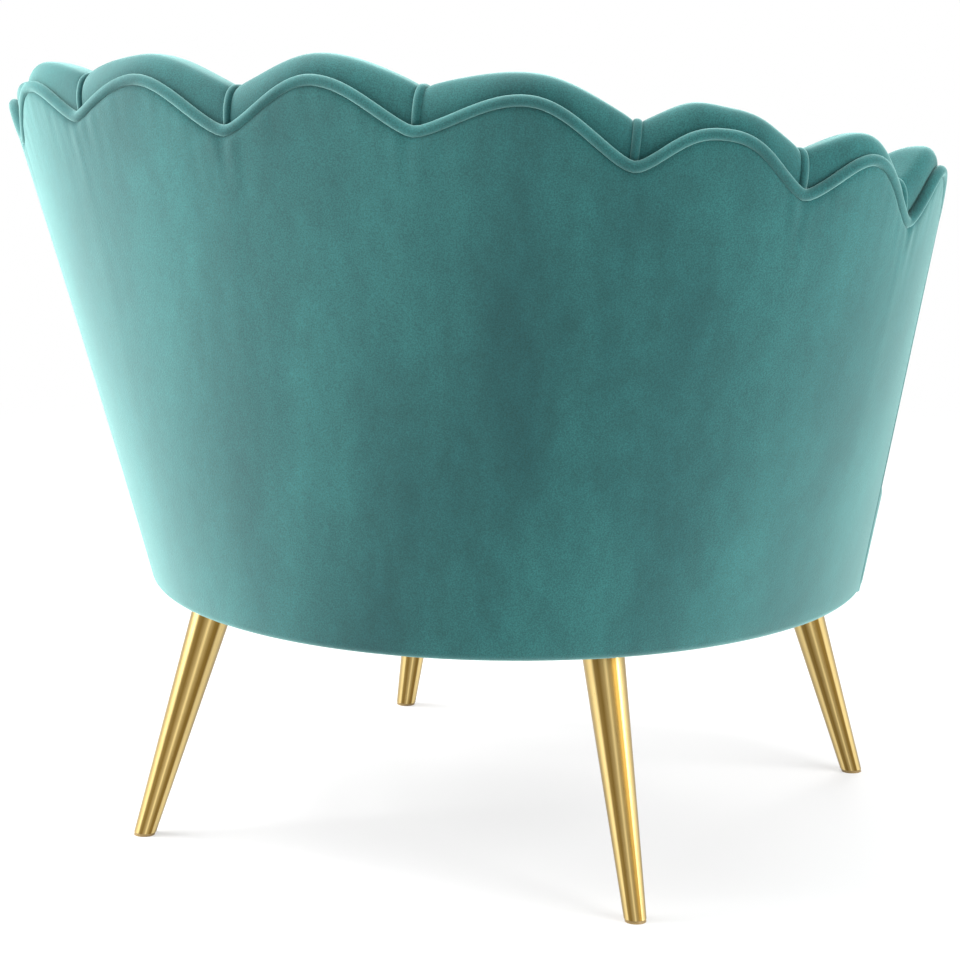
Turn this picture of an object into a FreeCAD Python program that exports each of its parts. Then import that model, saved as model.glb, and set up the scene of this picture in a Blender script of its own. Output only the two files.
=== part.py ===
"""Scallop back chair: a tub armchair with nine upright padded channels on four splayed metal legs.

The origin lies on the floor under the middle of the chair. Z is up, the sitter faces -Y and the
sitter's left is +X. Lengths are millimetres and angles are degrees.

The back and arms are one ruled shell. It stands on a round base, and every straight line of it rises
from the base circle to a wider oval. A place on it is given by three numbers: the angle from the
middle of the back, the depth inwards from the outer surface, and the height above the floor.
"""
import FreeCAD, Part
import math
import os

from FreeCAD import Rotation, Vector

DRIVING_SIZES = (
    ("base_radius", 359, "outer radius of the round base at its lower edge"),
    ("base_center_y", -15, "middle of the round base, front to back"),
    ("shell_bottom", 248, "lower edge of the covered shell above the floor"),
    ("oval_height", 714, "height at which the oval of the shell is given"),
    ("oval_half_width", 489, "half the width of that oval"),
    ("oval_extra_half_width", 14, "extra half width that the oval has towards the rear"),
    ("oval_half_depth", 297, "half the depth of that oval"),
    ("oval_center_y", 78, "middle of that oval, front to back"),
    ("back_crown", 779.5, "height of the welt at the middle scallop"),
    ("arm_crown", 677.4, "height that the scallops fall to at the arms"),
    ("crown_fall", 1.5, "how fast the scallops fall from the back to the arms"),
    ("scallop_depth", 43.6, "drop of the welt from a crest to the valley beside it"),
    ("scallop_roundness", 0.47, "0 is a parabola with a sharp valley, 1 is a wave"),
    ("valley_softness", 0.08, "rounding of a valley, as a share of a channel's half width"),
    ("first_valley_angle", 11.2, "angle of the first valley from the middle of the back"),
    ("second_valley_angle", 35.6, "angle of the second valley"),
    ("third_valley_angle", 58.5, "angle of the third valley"),
    ("fourth_valley_angle", 81.9, "angle of the fourth valley"),
    ("arm_end_angle", 103.2, "angle of the arm's front edge"),
    ("cover_thickness", 1.6, "velvet"),
    ("padding_thickness", 5, "foam between the velvet and the panels"),
    ("panel_thickness", 9, "bent plywood of the back, the arms and the front band"),
    ("welt_radius", 4.5, "covered cord of every seam"),
    ("clearance", 0.3, "gap between soft pieces that lie together"),
    ("pad_thickness", 68, "pad at its fullest, at the shoulder of a channel"),
    ("pad_foot_thickness", 50, "pad at its fullest, at the seat"),
    ("pad_pinch", 14, "how much thinner a pad is at its seams"),
    ("lip_rise", 1, "how far a pad laps up behind the middle of the welt"),
    ("pad_crest_depth", 26, "highest line of a pad, in from the shell's outer surface"),
    ("pad_rise", 22.5, "how far a pad rises above the welt at a crest"),
    ("valley_rise", 19.5, "how much more it rises above the welt at a valley"),
    ("seam_tightness", 75.2, "half width of a channel whose seam is drawn in by a welt's radius"),
    ("arm_post_width", 18, "timber post behind an arm's front, at its top"),
    ("board_thickness", 18, "plywood of the base and the seat ring"),
    ("cloth_thickness", 1, "dust cover"),
    ("ring_top", 335, "top of the ring that carries the seat"),
    ("ring_width", 109, "opening of that ring, in from the base radius"),
    ("block_width", 60, "support block along the ring"),
    ("block_depth", 36, "support block across the ring"),
    ("block_inset", 54, "middle of a support block, in from the base radius"),
    ("strap_width", 50, "elastic webbing"),
    ("strap_thickness", 2, "elastic webbing"),
    ("strap_lap", 26, "webbing that lies on the ring at each end"),
    ("platform_top", 352, "top of the firm foam and of the front band"),
    ("apron_flare", 6, "how far the front band leans out at its top"),
    ("seat_height", 455, "crown of the seat cushion"),
    ("cushion_crown", 22, "rise of the cushion's crown above its upper edge"),
    ("cushion_bulge", 12, "how far the cushion's sides swell past its seams"),
    ("cushion_reach", 2, "how far the cushion stands back from the front band"),
    ("cushion_welt_step", 20, "distance between the points that its welts follow"),
    ("legs_advance", 7, "how far the middle of the legs lies in front of the base's middle"),
    ("leg_inset", 50.5, "circle of the legs' tops, in from the base radius"),
    ("leg_share_x", 0.684, "place of a leg's top, as a share of that circle's radius"),
    ("leg_share_y", 0.7294, "the same, front to back"),
    ("leg_splay_x", 61, "how far a foot stands outside its leg's top"),
    ("leg_splay_y", 47, "the same, front to back"),
    ("leg_top_radius", 20.5, "leg where it meets its plate"),
    ("leg_foot_radius", 10.5, "leg at the floor"),
    ("leg_wall", 1.5, "metal of the leg"),
    ("leg_overrun", 20, "length cut off each end of a leg to make it level"),
    ("plate_radius", 32, "round plate on top of a leg"),
    ("plate_thickness", 3, "round plate on top of a leg"),
    ("plug_height", 3, "part of the foot plug that shows"),
    ("plug_stem_height", 25, "part of the foot plug inside the leg"),
    ("plug_inset", 0.5, "how much smaller the plug is than the leg"),
    ("plug_play", 0.1, "gap between the plug's stem and the bore"),
    ("screw_circle_radius", 26.5, "circle of the screws in a plate"),
    ("screw_radius", 2, "shank of every screw"),
    ("screw_head_radius", 4, "head of every screw"),
    ("screw_head_height", 2, "head of every screw"),
    ("plate_screw_length", 14, "shank of a plate screw"),
    ("frame_screw_length", 30, "shank of a screw from a panel into a board"),
)

VALLEY_ORDER = ("first", "second", "third", "fourth")
CHANNEL_STATIONS = (-1.0, -0.87, -0.6, -0.3, 0.0, 0.3, 0.6, 0.87, 1.0)
SEAM_START = 0.7
WELT_STATIONS = 12
SCREWS_PER_PLATE = 4
FRONT_SCREWS = 5
STRAPS = 5
CUSHION_STEPS = 5
CROWN_SPREAD = 0.85
SLOPE_PLACES = (0.8, 0.9)
REAR_REACH = 90
FIRST_SCREW_ANGLE = 45
QUARTER_STEPS = 5
BLOCK_ANGLES = (0, 60, 120, 180, 240, 300)
CORNERS = {
    "front_left": (1, -1),
    "front_right": (-1, -1),
    "rear_left": (1, 1),
    "rear_right": (-1, 1),
}

doc = FreeCAD.newDocument("scallop_back_chair")
sheet = doc.addObject("Spreadsheet::Sheet", "sizes")
for row, (alias, value, meaning) in enumerate(DRIVING_SIZES, start=1):
    sheet.set(f"A{row}", alias)
    sheet.set(f"B{row}", str(value))
    sheet.set(f"C{row}", meaning)
    sheet.setAlias(f"B{row}", alias)
doc.recompute()


def size(alias):
    """The value of one driving size."""
    return float(getattr(sheet, alias))


pieces = {}


def keep(piece, name):
    """Give a finished piece its name and put it on the list of nodes."""
    piece.Label = name
    pieces[name] = piece
    return piece


def solid_feature(name, shape):
    """A document object for a shape that comes from curves."""
    feature = doc.addObject("Part::Feature", name)
    feature.Shape = shape
    return feature


# Places on the shell

UP = Vector(0, 0, 1)
pad_back = size("cover_thickness") + size("padding_thickness") + size("panel_thickness")
pad_back += 2 * size("clearance")
welt_reach = size("welt_radius") + size("clearance")
pad_lip = size("welt_radius") + welt_reach
arm_end = size("arm_end_angle")
valley_angles = [size(f"{order}_valley_angle") for order in VALLEY_ORDER]
edges = [-arm_end] + [-angle for angle in reversed(valley_angles)] + valley_angles + [arm_end]
channels = list(zip(edges[:-1], edges[1:]))
channels.reverse()


def base_point(angle):
    """A point of the base circle."""
    turn = math.radians(angle)
    x = size("base_radius") * math.sin(turn)
    y = size("base_center_y") + size("base_radius") * math.cos(turn)
    return Vector(x, y, size("shell_bottom"))


def oval_point(angle):
    """A point of the shell's oval."""
    turn = math.radians(angle)
    half_width = size("oval_half_width") + size("oval_extra_half_width") * math.cos(turn)
    y = size("oval_center_y") + size("oval_half_depth") * math.cos(turn)
    return Vector(half_width * math.sin(turn), y, size("oval_height"))


def inward(angle):
    """The level direction that points into the chair, square to the shell at half its height."""
    turn = math.radians(angle)
    half_width = (size("base_radius") + size("oval_half_width")) / 2
    half_depth = (size("base_radius") + size("oval_half_depth")) / 2
    direction = Vector(-half_depth * math.sin(turn), -half_width * math.cos(turn), 0)
    return direction.normalize()


def wall(angle, depth, height):
    """A point of the shell, so far in from its outer surface and so high above the floor."""
    low = base_point(angle)
    high = oval_point(angle)
    share = (height - low.z) / (high.z - low.z)
    return low + (high - low) * share + inward(angle) * depth


def scallop(place):
    """How far a scallop has fallen, 0 at its crest and 1 at the valley on either side."""
    softness = size("valley_softness")
    away = (math.hypot(1 - abs(place), softness) - softness) / (math.hypot(1, softness) - softness)
    wave = (1 + math.cos(math.pi * away)) / 2
    roundness = size("scallop_roundness")
    return roundness * wave + (1 - roundness) * (1 - away) ** 2


def rim(angle, place):
    """Height of the welt's middle line at an angle that lies at that place of its scallop."""
    fall = (1 + math.cos(math.radians(size("crown_fall") * angle))) / 2
    crown = size("arm_crown") + (size("back_crown") - size("arm_crown")) * fall
    return crown - size("scallop_depth") * scallop(place)


def angle_at(channel, place):
    """The angle of a place of a channel, -1 and 1 at its seams and 0 at its middle."""
    low, high = channel
    return (low + high) / 2 + place * (high - low) / 2


# Shapes made from such places

def arcs_through(points):
    """Arcs that each run through three points, the last of one being the first of the next."""
    triples = zip(points[:-2:2], points[1:-1:2], points[2::2])
    return [Part.Arc(*triple).toShape() for triple in triples]


def closed_face(edge_list):
    """A face inside a closed run of edges."""
    return Part.Face(Part.Wire(edge_list))


def tube(points, radius, closed=False):
    """A cord along points, lofted in short runs through one circle at each of them."""
    circles = []
    across = None
    count = len(points)
    for index, point in enumerate(points):
        before = points[index - 1] if closed or index else point
        after = points[(index + 1) % count] if closed or index < count - 1 else point
        along = (after - before).normalize()
        if across is None:
            across = along.cross(UP) if abs(along.z) < 0.9 else along.cross(Vector(1, 0, 0))
        across = (across - along * across.dot(along)).normalize()
        circle = Part.Circle(point, along, radius)
        circle.XAxis = across
        circles.append(Part.Wire(circle.toShape()))
    if closed:
        circles.append(circles[0])
    starts = range(0, len(circles) - 1, WELT_STATIONS)
    runs = [circles[start:start + WELT_STATIONS + 1] for start in starts]
    return fused([Part.makeLoft(run, True, True) for run in runs])


def fused(shapes):
    """One solid from solids that meet face to face."""
    whole = shapes[0].fuse(shapes[1:])
    return whole.removeSplitter()


arm_speed = (oval_point(arm_end + 1) - oval_point(arm_end)).Length


def arm_angle(distance):
    """The angle that lies so far in front of the arm's front edge, at the oval."""
    return arm_end + distance / arm_speed


def place_in(channel, angle):
    """The place of an angle in its channel, -1 and 1 at the seams and 0 in the middle."""
    low, high = channel
    return 2 * (angle - low) / (high - low) - 1


def steepest_rim():
    """The steepest slope of the welt, beside a valley, as rise over run."""
    slopes = []
    for channel in channels:
        for side in (-1, 1):
            inner, outer = (side * place for place in SLOPE_PLACES)
            first, last = angle_at(channel, inner), angle_at(channel, outer)
            run = (oval_point(first) - oval_point(last)).Length
            slopes.append(abs(rim(first, inner) - rim(last, outer)) / run)
    return max(slopes)


lap_angle = arm_angle(-welt_reach)
front_angle = arm_angle(welt_reach)
layer_edges = [-lap_angle] + edges[1:-1] + [lap_angle]
welt_drop = welt_reach * math.hypot(1, steepest_rim()) + size("clearance")


def wall_layer(outer_depth, inner_depth, bottom, rim_drop):
    """One layer of the shell between two depths, with its upper edge so far under the welt."""
    segments = []
    for channel, ends in zip(zip(edges[:-1], edges[1:]), zip(layer_edges[:-1], layer_edges[1:])):
        sections = []
        for station in CHANNEL_STATIONS:
            angle = angle_at(ends, station)
            top = rim(angle, place_in(channel, angle)) - rim_drop
            corners = [
                wall(angle, outer_depth, bottom),
                wall(angle, outer_depth, top),
                wall(angle, inner_depth, top),
                wall(angle, inner_depth, bottom),
            ]
            sections.append(Part.makePolygon(corners + corners[:1]))
        segments.append(Part.makeLoft(sections, True, False))
    return fused(segments)


def pad_section(angle, place, sink=0.0):
    """Outline of a pad in the plane of one straight line of the shell."""
    pinch = scallop(place)
    shoulder = pad_back + size("pad_thickness") - size("pad_pinch") * pinch - sink
    foot = pad_back + size("pad_foot_thickness") - size("pad_pinch") * pinch - sink
    lip_height = rim(angle, place) + size("lip_rise")
    top = rim(angle, place) + size("pad_rise") + size("valley_rise") * pinch - sink
    floor = size("ring_top") + size("clearance")
    crest_depth = size("pad_crest_depth")
    reach = crest_depth - pad_lip
    rise = top - lip_height
    drop = shoulder - crest_depth
    part_turn = math.sin(math.pi / 4)
    outline = {
        "foot_back": (pad_back, floor),
        "ledge": (pad_back, rim(angle, place) - welt_drop),
        "lip": (pad_lip, lip_height),
        "roll": (crest_depth - reach * part_turn, lip_height + rise * part_turn),
        "crest": (crest_depth, top),
        "turn": (crest_depth + drop * part_turn, top - drop * (1 - part_turn)),
        "shoulder": (shoulder, top - drop),
        "foot_front": (foot, floor),
    }
    at = {name: wall(angle, *spot) for name, spot in outline.items()}
    return Part.Wire([
        Part.LineSegment(at["foot_back"], at["ledge"]).toShape(),
        Part.LineSegment(at["ledge"], at["lip"]).toShape(),
        Part.Arc(at["lip"], at["roll"], at["crest"]).toShape(),
        Part.Arc(at["crest"], at["turn"], at["shoulder"]).toShape(),
        Part.LineSegment(at["shoulder"], at["foot_front"]).toShape(),
        Part.LineSegment(at["foot_front"], at["foot_back"]).toShape(),
    ])


def valley_path(angle):
    """Middle line of the welt between two pads, from the outer valley down to the seat."""
    shoulder = pad_back + size("pad_thickness") - size("pad_pinch")
    foot = pad_back + size("pad_foot_thickness") - size("pad_pinch")
    start = rim(angle, 1.0) + welt_drop + size("welt_radius") * steepest_rim()
    top = rim(angle, 1.0) + size("pad_rise") + size("valley_rise")
    crest_depth = size("pad_crest_depth")
    reach = crest_depth - size("welt_radius")
    rise = top - start
    drop = shoulder - crest_depth
    quarter = [math.pi / 2 * step / QUARTER_STEPS for step in range(QUARTER_STEPS + 1)]
    path = [(crest_depth - reach * math.cos(turn), start + rise * math.sin(turn))
            for turn in quarter]
    path += [(crest_depth + drop * math.sin(turn), top - drop * (1 - math.cos(turn)))
             for turn in quarter[1:]]
    path.append((foot, size("ring_top") + welt_reach))
    return [wall(angle, *spot) for spot in path]


# Legs, their plates, plugs and screws

plate_bottom = size("shell_bottom") + size("cloth_thickness")
plate_top = plate_bottom + size("plate_thickness")
board_bottom = plate_top + size("cloth_thickness")
board_top = board_bottom + size("board_thickness")
LEG_LENGTH = ("sqrt(sizes.leg_splay_x^2 + sizes.leg_splay_y^2 + "
              "(sizes.shell_bottom + sizes.cloth_thickness)^2)")
LEG_TAPER = f"(sizes.leg_top_radius - sizes.leg_foot_radius) / {LEG_LENGTH}"


def leg_ends(corner):
    """Middle of a leg at the floor and under its plate."""
    side, front = CORNERS[corner]
    circle_radius = size("base_radius") - size("leg_inset")
    middle_y = size("base_center_y") - size("legs_advance")
    top = Vector(side * size("leg_share_x") * circle_radius,
                 middle_y + front * size("leg_share_y") * circle_radius, plate_bottom)
    foot = Vector(top.x + side * size("leg_splay_x"), top.y + front * size("leg_splay_y"), 0)
    return foot, top


def leg_cone(name, corner, smaller):
    """A cone along a leg, past both its ends, smaller than the leg by the given expression."""
    foot, top = leg_ends(corner)
    along = (top - foot).normalize()
    cone = doc.addObject("Part::Cone", name)
    cone.setExpression("Radius1", f"sizes.leg_foot_radius - ({smaller}) - "
                                  f"sizes.leg_overrun * {LEG_TAPER}")
    cone.setExpression("Radius2", f"sizes.leg_top_radius - ({smaller}) + "
                                  f"sizes.leg_overrun * {LEG_TAPER}")
    cone.setExpression("Height", f"{LEG_LENGTH} + 2 * sizes.leg_overrun")
    cone.Placement.Base = foot - along * size("leg_overrun")
    cone.Placement.Rotation = Rotation(UP, along)
    return cone


def level_slab(name, corner, bottom, height):
    """A level slice of space round a leg, its bottom and height given by expressions."""
    foot = leg_ends(corner)[0]
    slab = doc.addObject("Part::Box", name)
    slab.setExpression("Length", "2 * sizes.base_radius")
    slab.setExpression("Width", "2 * sizes.base_radius")
    slab.setExpression("Height", height)
    slab.setExpression("Placement.Base.x", f"{foot.x} - sizes.base_radius")
    slab.setExpression("Placement.Base.y", f"{foot.y} - sizes.base_radius")
    slab.setExpression("Placement.Base.z", bottom)
    return slab


def two_part(kind, name, base, tool):
    """A cut, or a common part, of two document objects."""
    result = doc.addObject(kind, name)
    result.Base = base
    result.Tool = tool
    return result


def make_leg(corner):
    """A tapered tube with level ends."""
    outside = leg_cone(f"leg_outside_{corner}", corner, "0")
    bore = leg_cone(f"leg_bore_{corner}", corner, "sizes.leg_wall")
    hollow = two_part("Part::Cut", f"leg_tube_{corner}", outside, bore)
    slab = level_slab(f"leg_level_{corner}", corner, "sizes.plug_height",
                      "sizes.shell_bottom + sizes.cloth_thickness - sizes.plug_height")
    return two_part("Part::Common", f"leg_{corner}", hollow, slab)


def make_plug(corner):
    """A foot plug: the end that meets the floor, and a stem inside the leg."""
    end = two_part("Part::Common", f"plug_end_{corner}",
                   leg_cone(f"plug_outside_{corner}", corner, "sizes.plug_inset"),
                   level_slab(f"plug_end_level_{corner}", corner, "0", "sizes.plug_height"))
    stem = two_part("Part::Common", f"plug_stem_{corner}",
                    leg_cone(f"plug_inside_{corner}", corner, "sizes.leg_wall + sizes.plug_play"),
                    level_slab(f"plug_stem_level_{corner}", corner, "sizes.plug_height",
                               "sizes.plug_stem_height"))
    return two_part("Part::Fuse", f"foot_plug_{corner}", end, stem)


def screw(start, direction, shank):
    """A screw whose head lies behind its start and whose shank runs on from there."""
    head = Part.makeCylinder(size("screw_head_radius"), size("screw_head_height"),
                             start - direction * size("screw_head_height"), direction)
    shaft = Part.makeCylinder(size("screw_radius"), shank, start, direction)
    return head.fuse(shaft).removeSplitter()


plate_screw_list = []
for corner in CORNERS:
    plate_middle = leg_ends(corner)[1]
    for number in range(SCREWS_PER_PLATE):
        turn = math.radians(FIRST_SCREW_ANGLE) + 2 * math.pi * number / SCREWS_PER_PLATE
        spoke = Vector(math.cos(turn), math.sin(turn), 0) * size("screw_circle_radius")
        plate_screw_list.append(screw(plate_middle + spoke, UP, size("plate_screw_length")))
plate_screws = keep(solid_feature("plate_screws", Part.makeCompound(plate_screw_list)),
                    "plate_screws")

for corner in CORNERS:
    keep(make_leg(corner), f"leg_{corner}")
    keep(make_plug(corner), f"foot_plug_{corner}")
    disc = doc.addObject("Part::Cylinder", f"plate_disc_{corner}")
    disc.setExpression("Radius", "sizes.plate_radius")
    disc.setExpression("Height", "sizes.plate_thickness")
    disc.Placement.Base = leg_ends(corner)[1]
    keep(two_part("Part::Cut", f"leg_plate_{corner}", disc, plate_screws), f"leg_plate_{corner}")

# Base, seat ring and what stands between them

frame_screw_list = []
board_radius_rule = ("sizes.base_radius - sizes.cover_thickness - sizes.padding_thickness - "
                     "sizes.panel_thickness - 2 * sizes.clearance")
base_level = board_bottom + size("board_thickness") / 2
ring_level = size("ring_top") - size("board_thickness") / 2
screw_depth = pad_back - size("panel_thickness") / 2


def front_point(depth, height):
    """The middle of the front band, so far in from its outer surface."""
    lean = size("apron_flare") * (height - size("shell_bottom"))
    lean /= size("platform_top") - size("shell_bottom")
    return Vector(0, size("base_center_y") - size("base_radius") - lean + depth, height)


def front_arc(depth, height):
    """The front band's outline from the right arm round the front to the left arm."""
    return Part.Arc(wall(-front_angle, depth, height), front_point(depth, height),
                    wall(front_angle, depth, height))


def front_layer(outer_depth, inner_depth, bottom, top):
    """One layer of the front band between two depths, cut level at its bottom and top."""
    sections = []
    for height in (size("shell_bottom"), size("platform_top")):
        outside = front_arc(outer_depth, height)
        inside = front_arc(inner_depth, height)
        sections.append(Part.Wire([
            outside.toShape(),
            Part.LineSegment(outside.EndPoint, inside.EndPoint).toShape(),
            inside.toShape(),
            Part.LineSegment(inside.StartPoint, outside.StartPoint).toShape(),
        ]))
    reach = size("oval_half_width") + size("base_radius")
    slice_box = Part.makeBox(2 * reach, 2 * reach, top - bottom, Vector(-reach, -reach, bottom))
    return Part.makeLoft(sections, True, True).common(slice_box)


for height in (base_level, ring_level):
    for channel in channels:
        angle = angle_at(channel, 0)
        frame_screw_list.append(screw(wall(angle, screw_depth, height), inward(angle),
                                      size("frame_screw_length")))
    arc = front_arc(screw_depth, height)
    for number in range(1, FRONT_SCREWS + 1):
        share = number / (FRONT_SCREWS + 1)
        spot = arc.value(arc.FirstParameter + share * (arc.LastParameter - arc.FirstParameter))
        center = Vector(0, size("base_center_y"), height)
        frame_screw_list.append(screw(spot, (center - spot).normalize(),
                                      size("frame_screw_length")))
frame_screws = keep(solid_feature("frame_screws", Part.makeCompound(frame_screw_list)),
                    "frame_screws")

board_disc = doc.addObject("Part::Cylinder", "board_disc")
board_disc.setExpression("Radius", board_radius_rule)
board_disc.setExpression("Height", "sizes.board_thickness")
board_disc.Placement.Base = Vector(0, size("base_center_y"), board_bottom)
screwed_board = two_part("Part::Cut", "board_with_plate_screws", board_disc, plate_screws)
keep(two_part("Part::Cut", "base_board", screwed_board, frame_screws), "base_board")

cloth_disc = doc.addObject("Part::Cylinder", "cloth_disc")
cloth_disc.setExpression("Radius", board_radius_rule)
cloth_disc.setExpression("Height", "sizes.cloth_thickness")
cloth_disc.Placement.Base = Vector(0, size("base_center_y"), plate_top)
keep(two_part("Part::Cut", "dust_cover", cloth_disc, plate_screws), "dust_cover")

blocks = []
ring_bottom = size("ring_top") - size("board_thickness")
for angle in BLOCK_ANGLES:
    block = Part.makeBox(size("block_width"), size("block_depth"), ring_bottom - board_top)
    block.translate(Vector(-size("block_width") / 2, -size("block_depth") / 2, 0))
    block.translate(Vector(0, size("base_radius") - size("block_inset"), board_top))
    block.rotate(Vector(0, 0, 0), UP, angle)
    block.translate(Vector(0, size("base_center_y"), 0))
    blocks.append(block)
keep(solid_feature("support_blocks", Part.makeCompound(blocks)), "support_blocks")


def inside_outline(depth, height):
    """A closed run of arcs along the inside of the shell and the front band."""
    rear_angles = [lap_angle * step / 4 for step in range(4, -5, -1)]
    rear = arcs_through([wall(angle, depth, height) for angle in rear_angles])
    front = front_arc(depth, height)
    first = wall(lap_angle, depth, height)
    last = wall(-lap_angle, depth, height)
    return rear + [Part.LineSegment(last, front.StartPoint).toShape(), front.toShape(),
                   Part.LineSegment(front.EndPoint, first).toShape()]


ring_shape = closed_face(inside_outline(pad_back + size("clearance"), ring_bottom)).extrude(
    UP * size("board_thickness"))
opening_radius = size("base_radius") - size("ring_width")
opening = Part.makeCylinder(opening_radius, size("board_thickness"),
                            Vector(0, size("base_center_y"), ring_bottom))
ring_blank = solid_feature("ring_blank", ring_shape.cut(opening))
keep(two_part("Part::Cut", "seat_ring", ring_blank, frame_screws), "seat_ring")


def strap_layer(bottom, crosswise):
    """Parallel straps across the ring's opening."""
    straps = []
    reach = opening_radius + size("strap_lap")
    spacing = 2 * opening_radius / (STRAPS + 1)
    for number in range(STRAPS):
        offset = (number - (STRAPS - 1) / 2) * spacing
        half = math.sqrt(reach ** 2 - offset ** 2)
        strap = Part.makeBox(size("strap_width"), 2 * half, size("strap_thickness"),
                             Vector(offset - size("strap_width") / 2, -half, bottom))
        if crosswise:
            strap.rotate(Vector(0, 0, 0), UP, 90)
        strap.translate(Vector(0, size("base_center_y"), 0))
        straps.append(strap)
    return Part.makeCompound(straps)


upper_straps = size("ring_top") + size("strap_thickness")
platform_bottom = upper_straps + size("strap_thickness")
keep(solid_feature("webbing_lengthwise", strap_layer(size("ring_top"), False)),
     "webbing_lengthwise")
keep(solid_feature("webbing_crosswise", strap_layer(upper_straps, True)), "webbing_crosswise")

# Back and arms

cover_inside = size("cover_thickness")
padding_inside = cover_inside + size("padding_thickness")
panel_outside = padding_inside + size("clearance")
panel_inside = panel_outside + size("panel_thickness")

back_blank = solid_feature("back_blank", wall_layer(panel_outside, panel_inside, board_bottom,
                                                    welt_drop + size("clearance")))
keep(two_part("Part::Cut", "back_panel", back_blank, frame_screws), "back_panel")
keep(solid_feature("outer_padding", wall_layer(cover_inside, padding_inside,
                                               board_bottom, welt_drop + size("clearance"))),
     "outer_padding")
keep(solid_feature("outer_back_cover", wall_layer(0, cover_inside, size("shell_bottom"),
                                                  welt_drop)), "outer_back_cover")

post_front = -(size("welt_radius") + size("clearance"))
post_back = post_front - size("arm_post_width")
pad_end = arm_angle(post_back - size("clearance"))
seam_gap = math.degrees(size("clearance") / size("base_radius"))


def seam_sink(channel, angle):
    """How far a pad's surface lies under the middle line of the welt at its seam."""
    low, high = channel
    half_width = (oval_point(angle + 1) - oval_point(angle - 1)).Length * (high - low) / 4
    return welt_reach + size("welt_radius") * (size("seam_tightness") / half_width) ** 2


for number, channel in enumerate(channels, start=1):
    low, high = channel
    ends = (max(low + seam_gap, -pad_end), min(high - seam_gap, pad_end))
    sections = []
    for station in CHANNEL_STATIONS:
        angle = angle_at(ends, station)
        drawn_in = max(0.0, (abs(station) - SEAM_START) / (1 - SEAM_START))
        if abs(angle) > size("fourth_valley_angle") and angle * station > 0:
            drawn_in = 0.0
        sink = seam_sink(channel, angle) * drawn_in
        sections.append(pad_section(angle, place_in(channel, angle), sink))
    keep(solid_feature(f"channel_pad_{number}", Part.makeLoft(sections, True, False)),
         f"channel_pad_{number}")


def rim_path():
    """Middle line of the welt: up one arm front, along the scallops and down the other."""
    depth = size("welt_radius")
    path = []
    for low, high in zip(edges[:-1], edges[1:]):
        for step in range(WELT_STATIONS):
            place = 2 * step / WELT_STATIONS - 1
            angle = angle_at((low, high), place)
            path.append(wall(angle, depth, rim(angle, place)))
    path.append(wall(arm_end, depth, rim(arm_end, 1.0)))
    bottom = size("shell_bottom") + size("welt_radius")
    return [wall(-arm_end, depth, bottom)] + path + [wall(arm_end, depth, bottom)]


keep(solid_feature("rim_welt", tube(rim_path(), size("welt_radius"))), "rim_welt")
keep(solid_feature("channel_welts", Part.makeCompound(
    [tube(valley_path(angle), size("welt_radius")) for angle in edges[1:-1]])), "channel_welts")


def arm_slice(side, first, last):
    """The pad's outline at the arm end, made into a slab between two distances from it."""
    channel = channels[0] if side > 0 else channels[-1]
    sections = []
    for distance in (first, last):
        angle = side * arm_angle(distance)
        sections.append(pad_section(angle, place_in(channel, angle)))
    return Part.makeLoft(sections, True, True)


for name, side in (("left", 1), ("right", -1)):
    keep(solid_feature(f"arm_post_{name}", arm_slice(side, post_back, post_front)),
         f"arm_post_{name}")
    keep(solid_feature(f"arm_front_{name}",
                       arm_slice(side, -size("welt_radius"), size("welt_radius"))),
         f"arm_front_{name}")

# Front band, seat platform and cushion

apron_blank = solid_feature("apron_blank", front_layer(panel_outside, panel_inside,
                                                       board_bottom, size("ring_top")))
keep(two_part("Part::Cut", "apron_panel", apron_blank, frame_screws), "apron_panel")
band_padding = front_layer(cover_inside + size("clearance"), padding_inside, board_bottom,
                           size("platform_top"))
keep(solid_feature("apron_padding", band_padding), "apron_padding")
keep(solid_feature("apron_cover", front_layer(0, cover_inside, size("shell_bottom"),
                                              size("platform_top"))), "apron_cover")

pad_front = pad_back + size("pad_foot_thickness") + 2 * size("clearance")


def seat_outline(level, height, front_depth, inset=0.0, scale=1.0):
    """The plan of the seat: round behind between the pads, with ears in front of the arms.

    It is worked out on the shell at one level and placed at a height. The inset draws every
    side in, and the scale shrinks the whole about the middle of the base.
    """
    ear_angle = arm_angle(welt_reach + inset)
    outer = front_depth + inset
    rear_depth = pad_front + inset
    rear_angles = [REAR_REACH * step / 4 for step in range(4, -5, -1)]
    rear = [wall(angle, rear_depth, level) for angle in rear_angles]
    middle = Vector(0, size("base_center_y"), level)

    def placed(point):
        spot = middle + (point - middle) * scale
        return Vector(spot.x, spot.y, height)

    left_ear, right_ear = (placed(wall(side * ear_angle, outer, level)) for side in (1, -1))
    left_nook, right_nook = (placed(wall(side * ear_angle, rear_depth, level))
                             for side in (1, -1))
    rear_arcs = arcs_through([placed(point) for point in rear])
    return Part.Wire(
        [Part.LineSegment(left_nook, placed(rear[0])).toShape()] + rear_arcs
        + [Part.LineSegment(placed(rear[-1]), right_nook).toShape(),
           Part.LineSegment(right_nook, right_ear).toShape(),
           Part.Arc(right_ear, placed(front_point(outer, level)), left_ear).toShape(),
           Part.LineSegment(left_ear, left_nook).toShape()])


platform_face = Part.Face(seat_outline(platform_bottom, platform_bottom,
                                       padding_inside + 2 * size("clearance"),
                                       2 * size("clearance")))
keep(solid_feature("platform_foam", platform_face.extrude(
    UP * (size("platform_top") - platform_bottom))), "platform_foam")

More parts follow.
